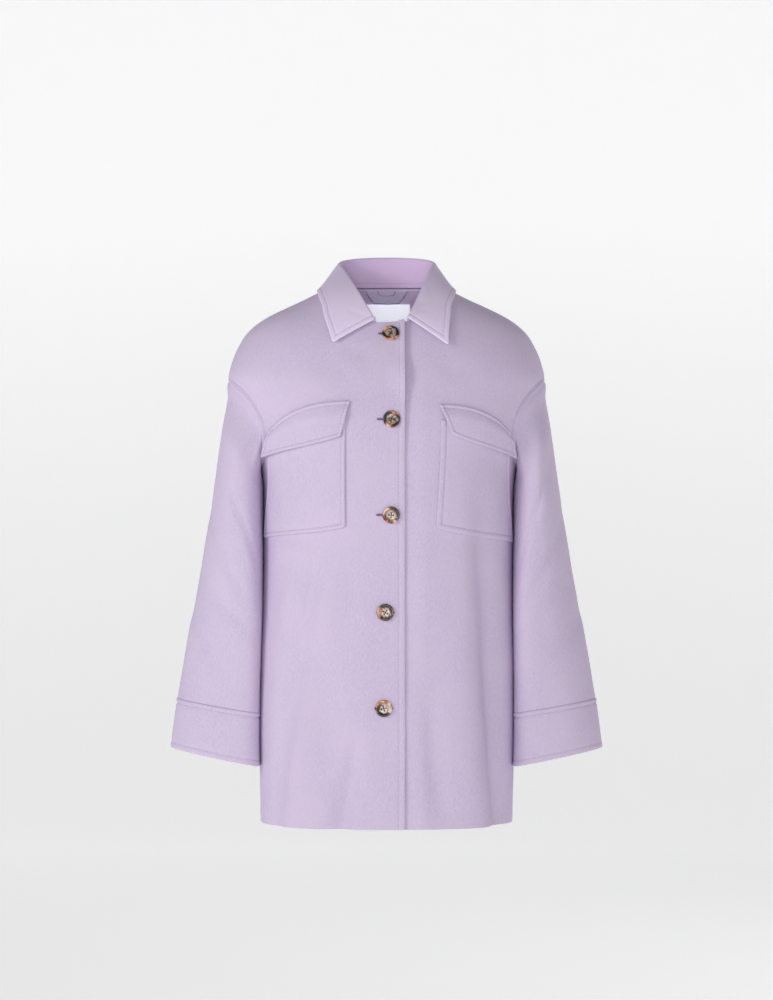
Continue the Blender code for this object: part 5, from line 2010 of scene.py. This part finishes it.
class SoftLight(NamedTuple):
    """A softbox in metres and watts."""

    name: str
    place: tuple[float, float, float]
    aim: tuple[float, float, float]
    size: float
    power: float


@dataclass
class Studio:
    """Seamless paper, soft light and the camera at the photograph's place."""

    finishes: Finishes
    surround: str = "FBFBFD"
    wall_light: float = 0.71
    ceiling_light: float = 0.16
    lights: tuple[SoftLight, ...] = (
        SoftLight("main_softbox", (-2.4, -1.95, 0.55), (0.0, 0.0, -0.35), 0.8, 25.0),
        SoftLight("front_softbox", (-0.1, -4.9, -0.35), (0.0, 0.0, -0.3), 1.0, 40.0),
        SoftLight("back_softbox", (2.2, 2.6, 0.9), (0.0, 0.0, -0.35), 0.8, 16.0),
    )
    floor_height: float = -1.3
    floor_front: float = -8.0
    wall_back: float = 7.0
    bend: float = 2.0
    half_width: float = 9.0
    wall_top: float = 6.0
    camera_distance: float = 4.5
    camera_height: float = -0.283
    view_height: float = 1.38
    sensor: float = 36.0

    def build_paper(self) -> None:
        """Builds the floor, which bends up into a wall."""
        bend_start = self.wall_back - self.bend
        line = [(self.floor_front, self.floor_height), (bend_start, self.floor_height)]
        for turn in np.linspace(0, math.pi / 2, 25)[1:]:
            rise = self.bend * (1 - math.cos(turn))
            line.append((bend_start + self.bend * math.sin(turn), self.floor_height + rise))
        line.append((self.wall_back, self.wall_top))
        points = [(x, y, z) for y, z in line for x in (-self.half_width, self.half_width)]
        faces = [(2 * i, 2 * i + 1, 2 * i + 3, 2 * i + 2) for i in range(len(line) - 1)]
        new_object("studio_paper", new_mesh("studio_paper", points, faces, self.finishes.paper))

    def add_light(self, plan: SoftLight) -> None:
        """Adds a square soft light."""
        light = bpy.data.lights.new(plan.name, "AREA")
        light.size = plan.size
        light.energy = plan.power
        obj = new_object(plan.name, light)
        obj.visible_camera = False
        obj.location = plan.place
        obj.rotation_euler = (Vector(plan.aim) - Vector(plan.place)).to_track_quat("-Z", "Y").to_euler()

    def build_surround(self) -> None:
        """Builds the pale surroundings, with walls brighter than the ceiling."""
        world = bpy.data.worlds.new("pale_studio")
        world.use_nodes = True
        tree = world.node_tree
        way = add_node(tree, "ShaderNodeTexCoord", "Generated")
        height = add_node(tree, "ShaderNodeSeparateXYZ", "Z", {"Vector": way})
        level = add_node(tree, "ShaderNodeMath", 0, {0: height}, operation="ABSOLUTE")
        light = stretched(tree, level, 0.15, 0.7, self.wall_light, self.ceiling_light)
        set_inputs(tree.nodes["Background"], {"Color": srgb(self.surround), "Strength": light})
        bpy.context.scene.world = world

    def build_camera(self) -> None:
        """Places the camera, level with the garment's middle."""
        camera = bpy.data.cameras.new("camera")
        camera.sensor_width = self.sensor
        camera.lens = self.sensor * self.camera_distance / self.view_height
        obj = new_object("camera", camera)
        obj.location = (0.0, -self.camera_distance, self.camera_height)
        obj.rotation_euler = (math.pi / 2, 0.0, 0.0)
        bpy.context.scene.camera = obj
        bpy.context.scene.view_settings.view_transform = "Standard"

    def build(self) -> None:
        """Builds the whole studio, with its main light on the left."""
        self.build_paper()
        self.build_surround()
        for light in self.lights:
            self.add_light(light)
        self.build_camera()


def main() -> None:
    """Loads the frame, builds every sub-assembly and the studio."""
    logging.basicConfig(level=logging.INFO, format="%(message)s")
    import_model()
    finishes = Finishes()
    form = BodyForm()
    parts = (form, finishes, Topstitching(finishes.thread))
    for assembly in (Panels, Sleeves, Collar, Pockets, NeckInside, Buttons):
        assembly(*parts).build()
    Studio(finishes).build()


if __name__ == "__main__":
    main()
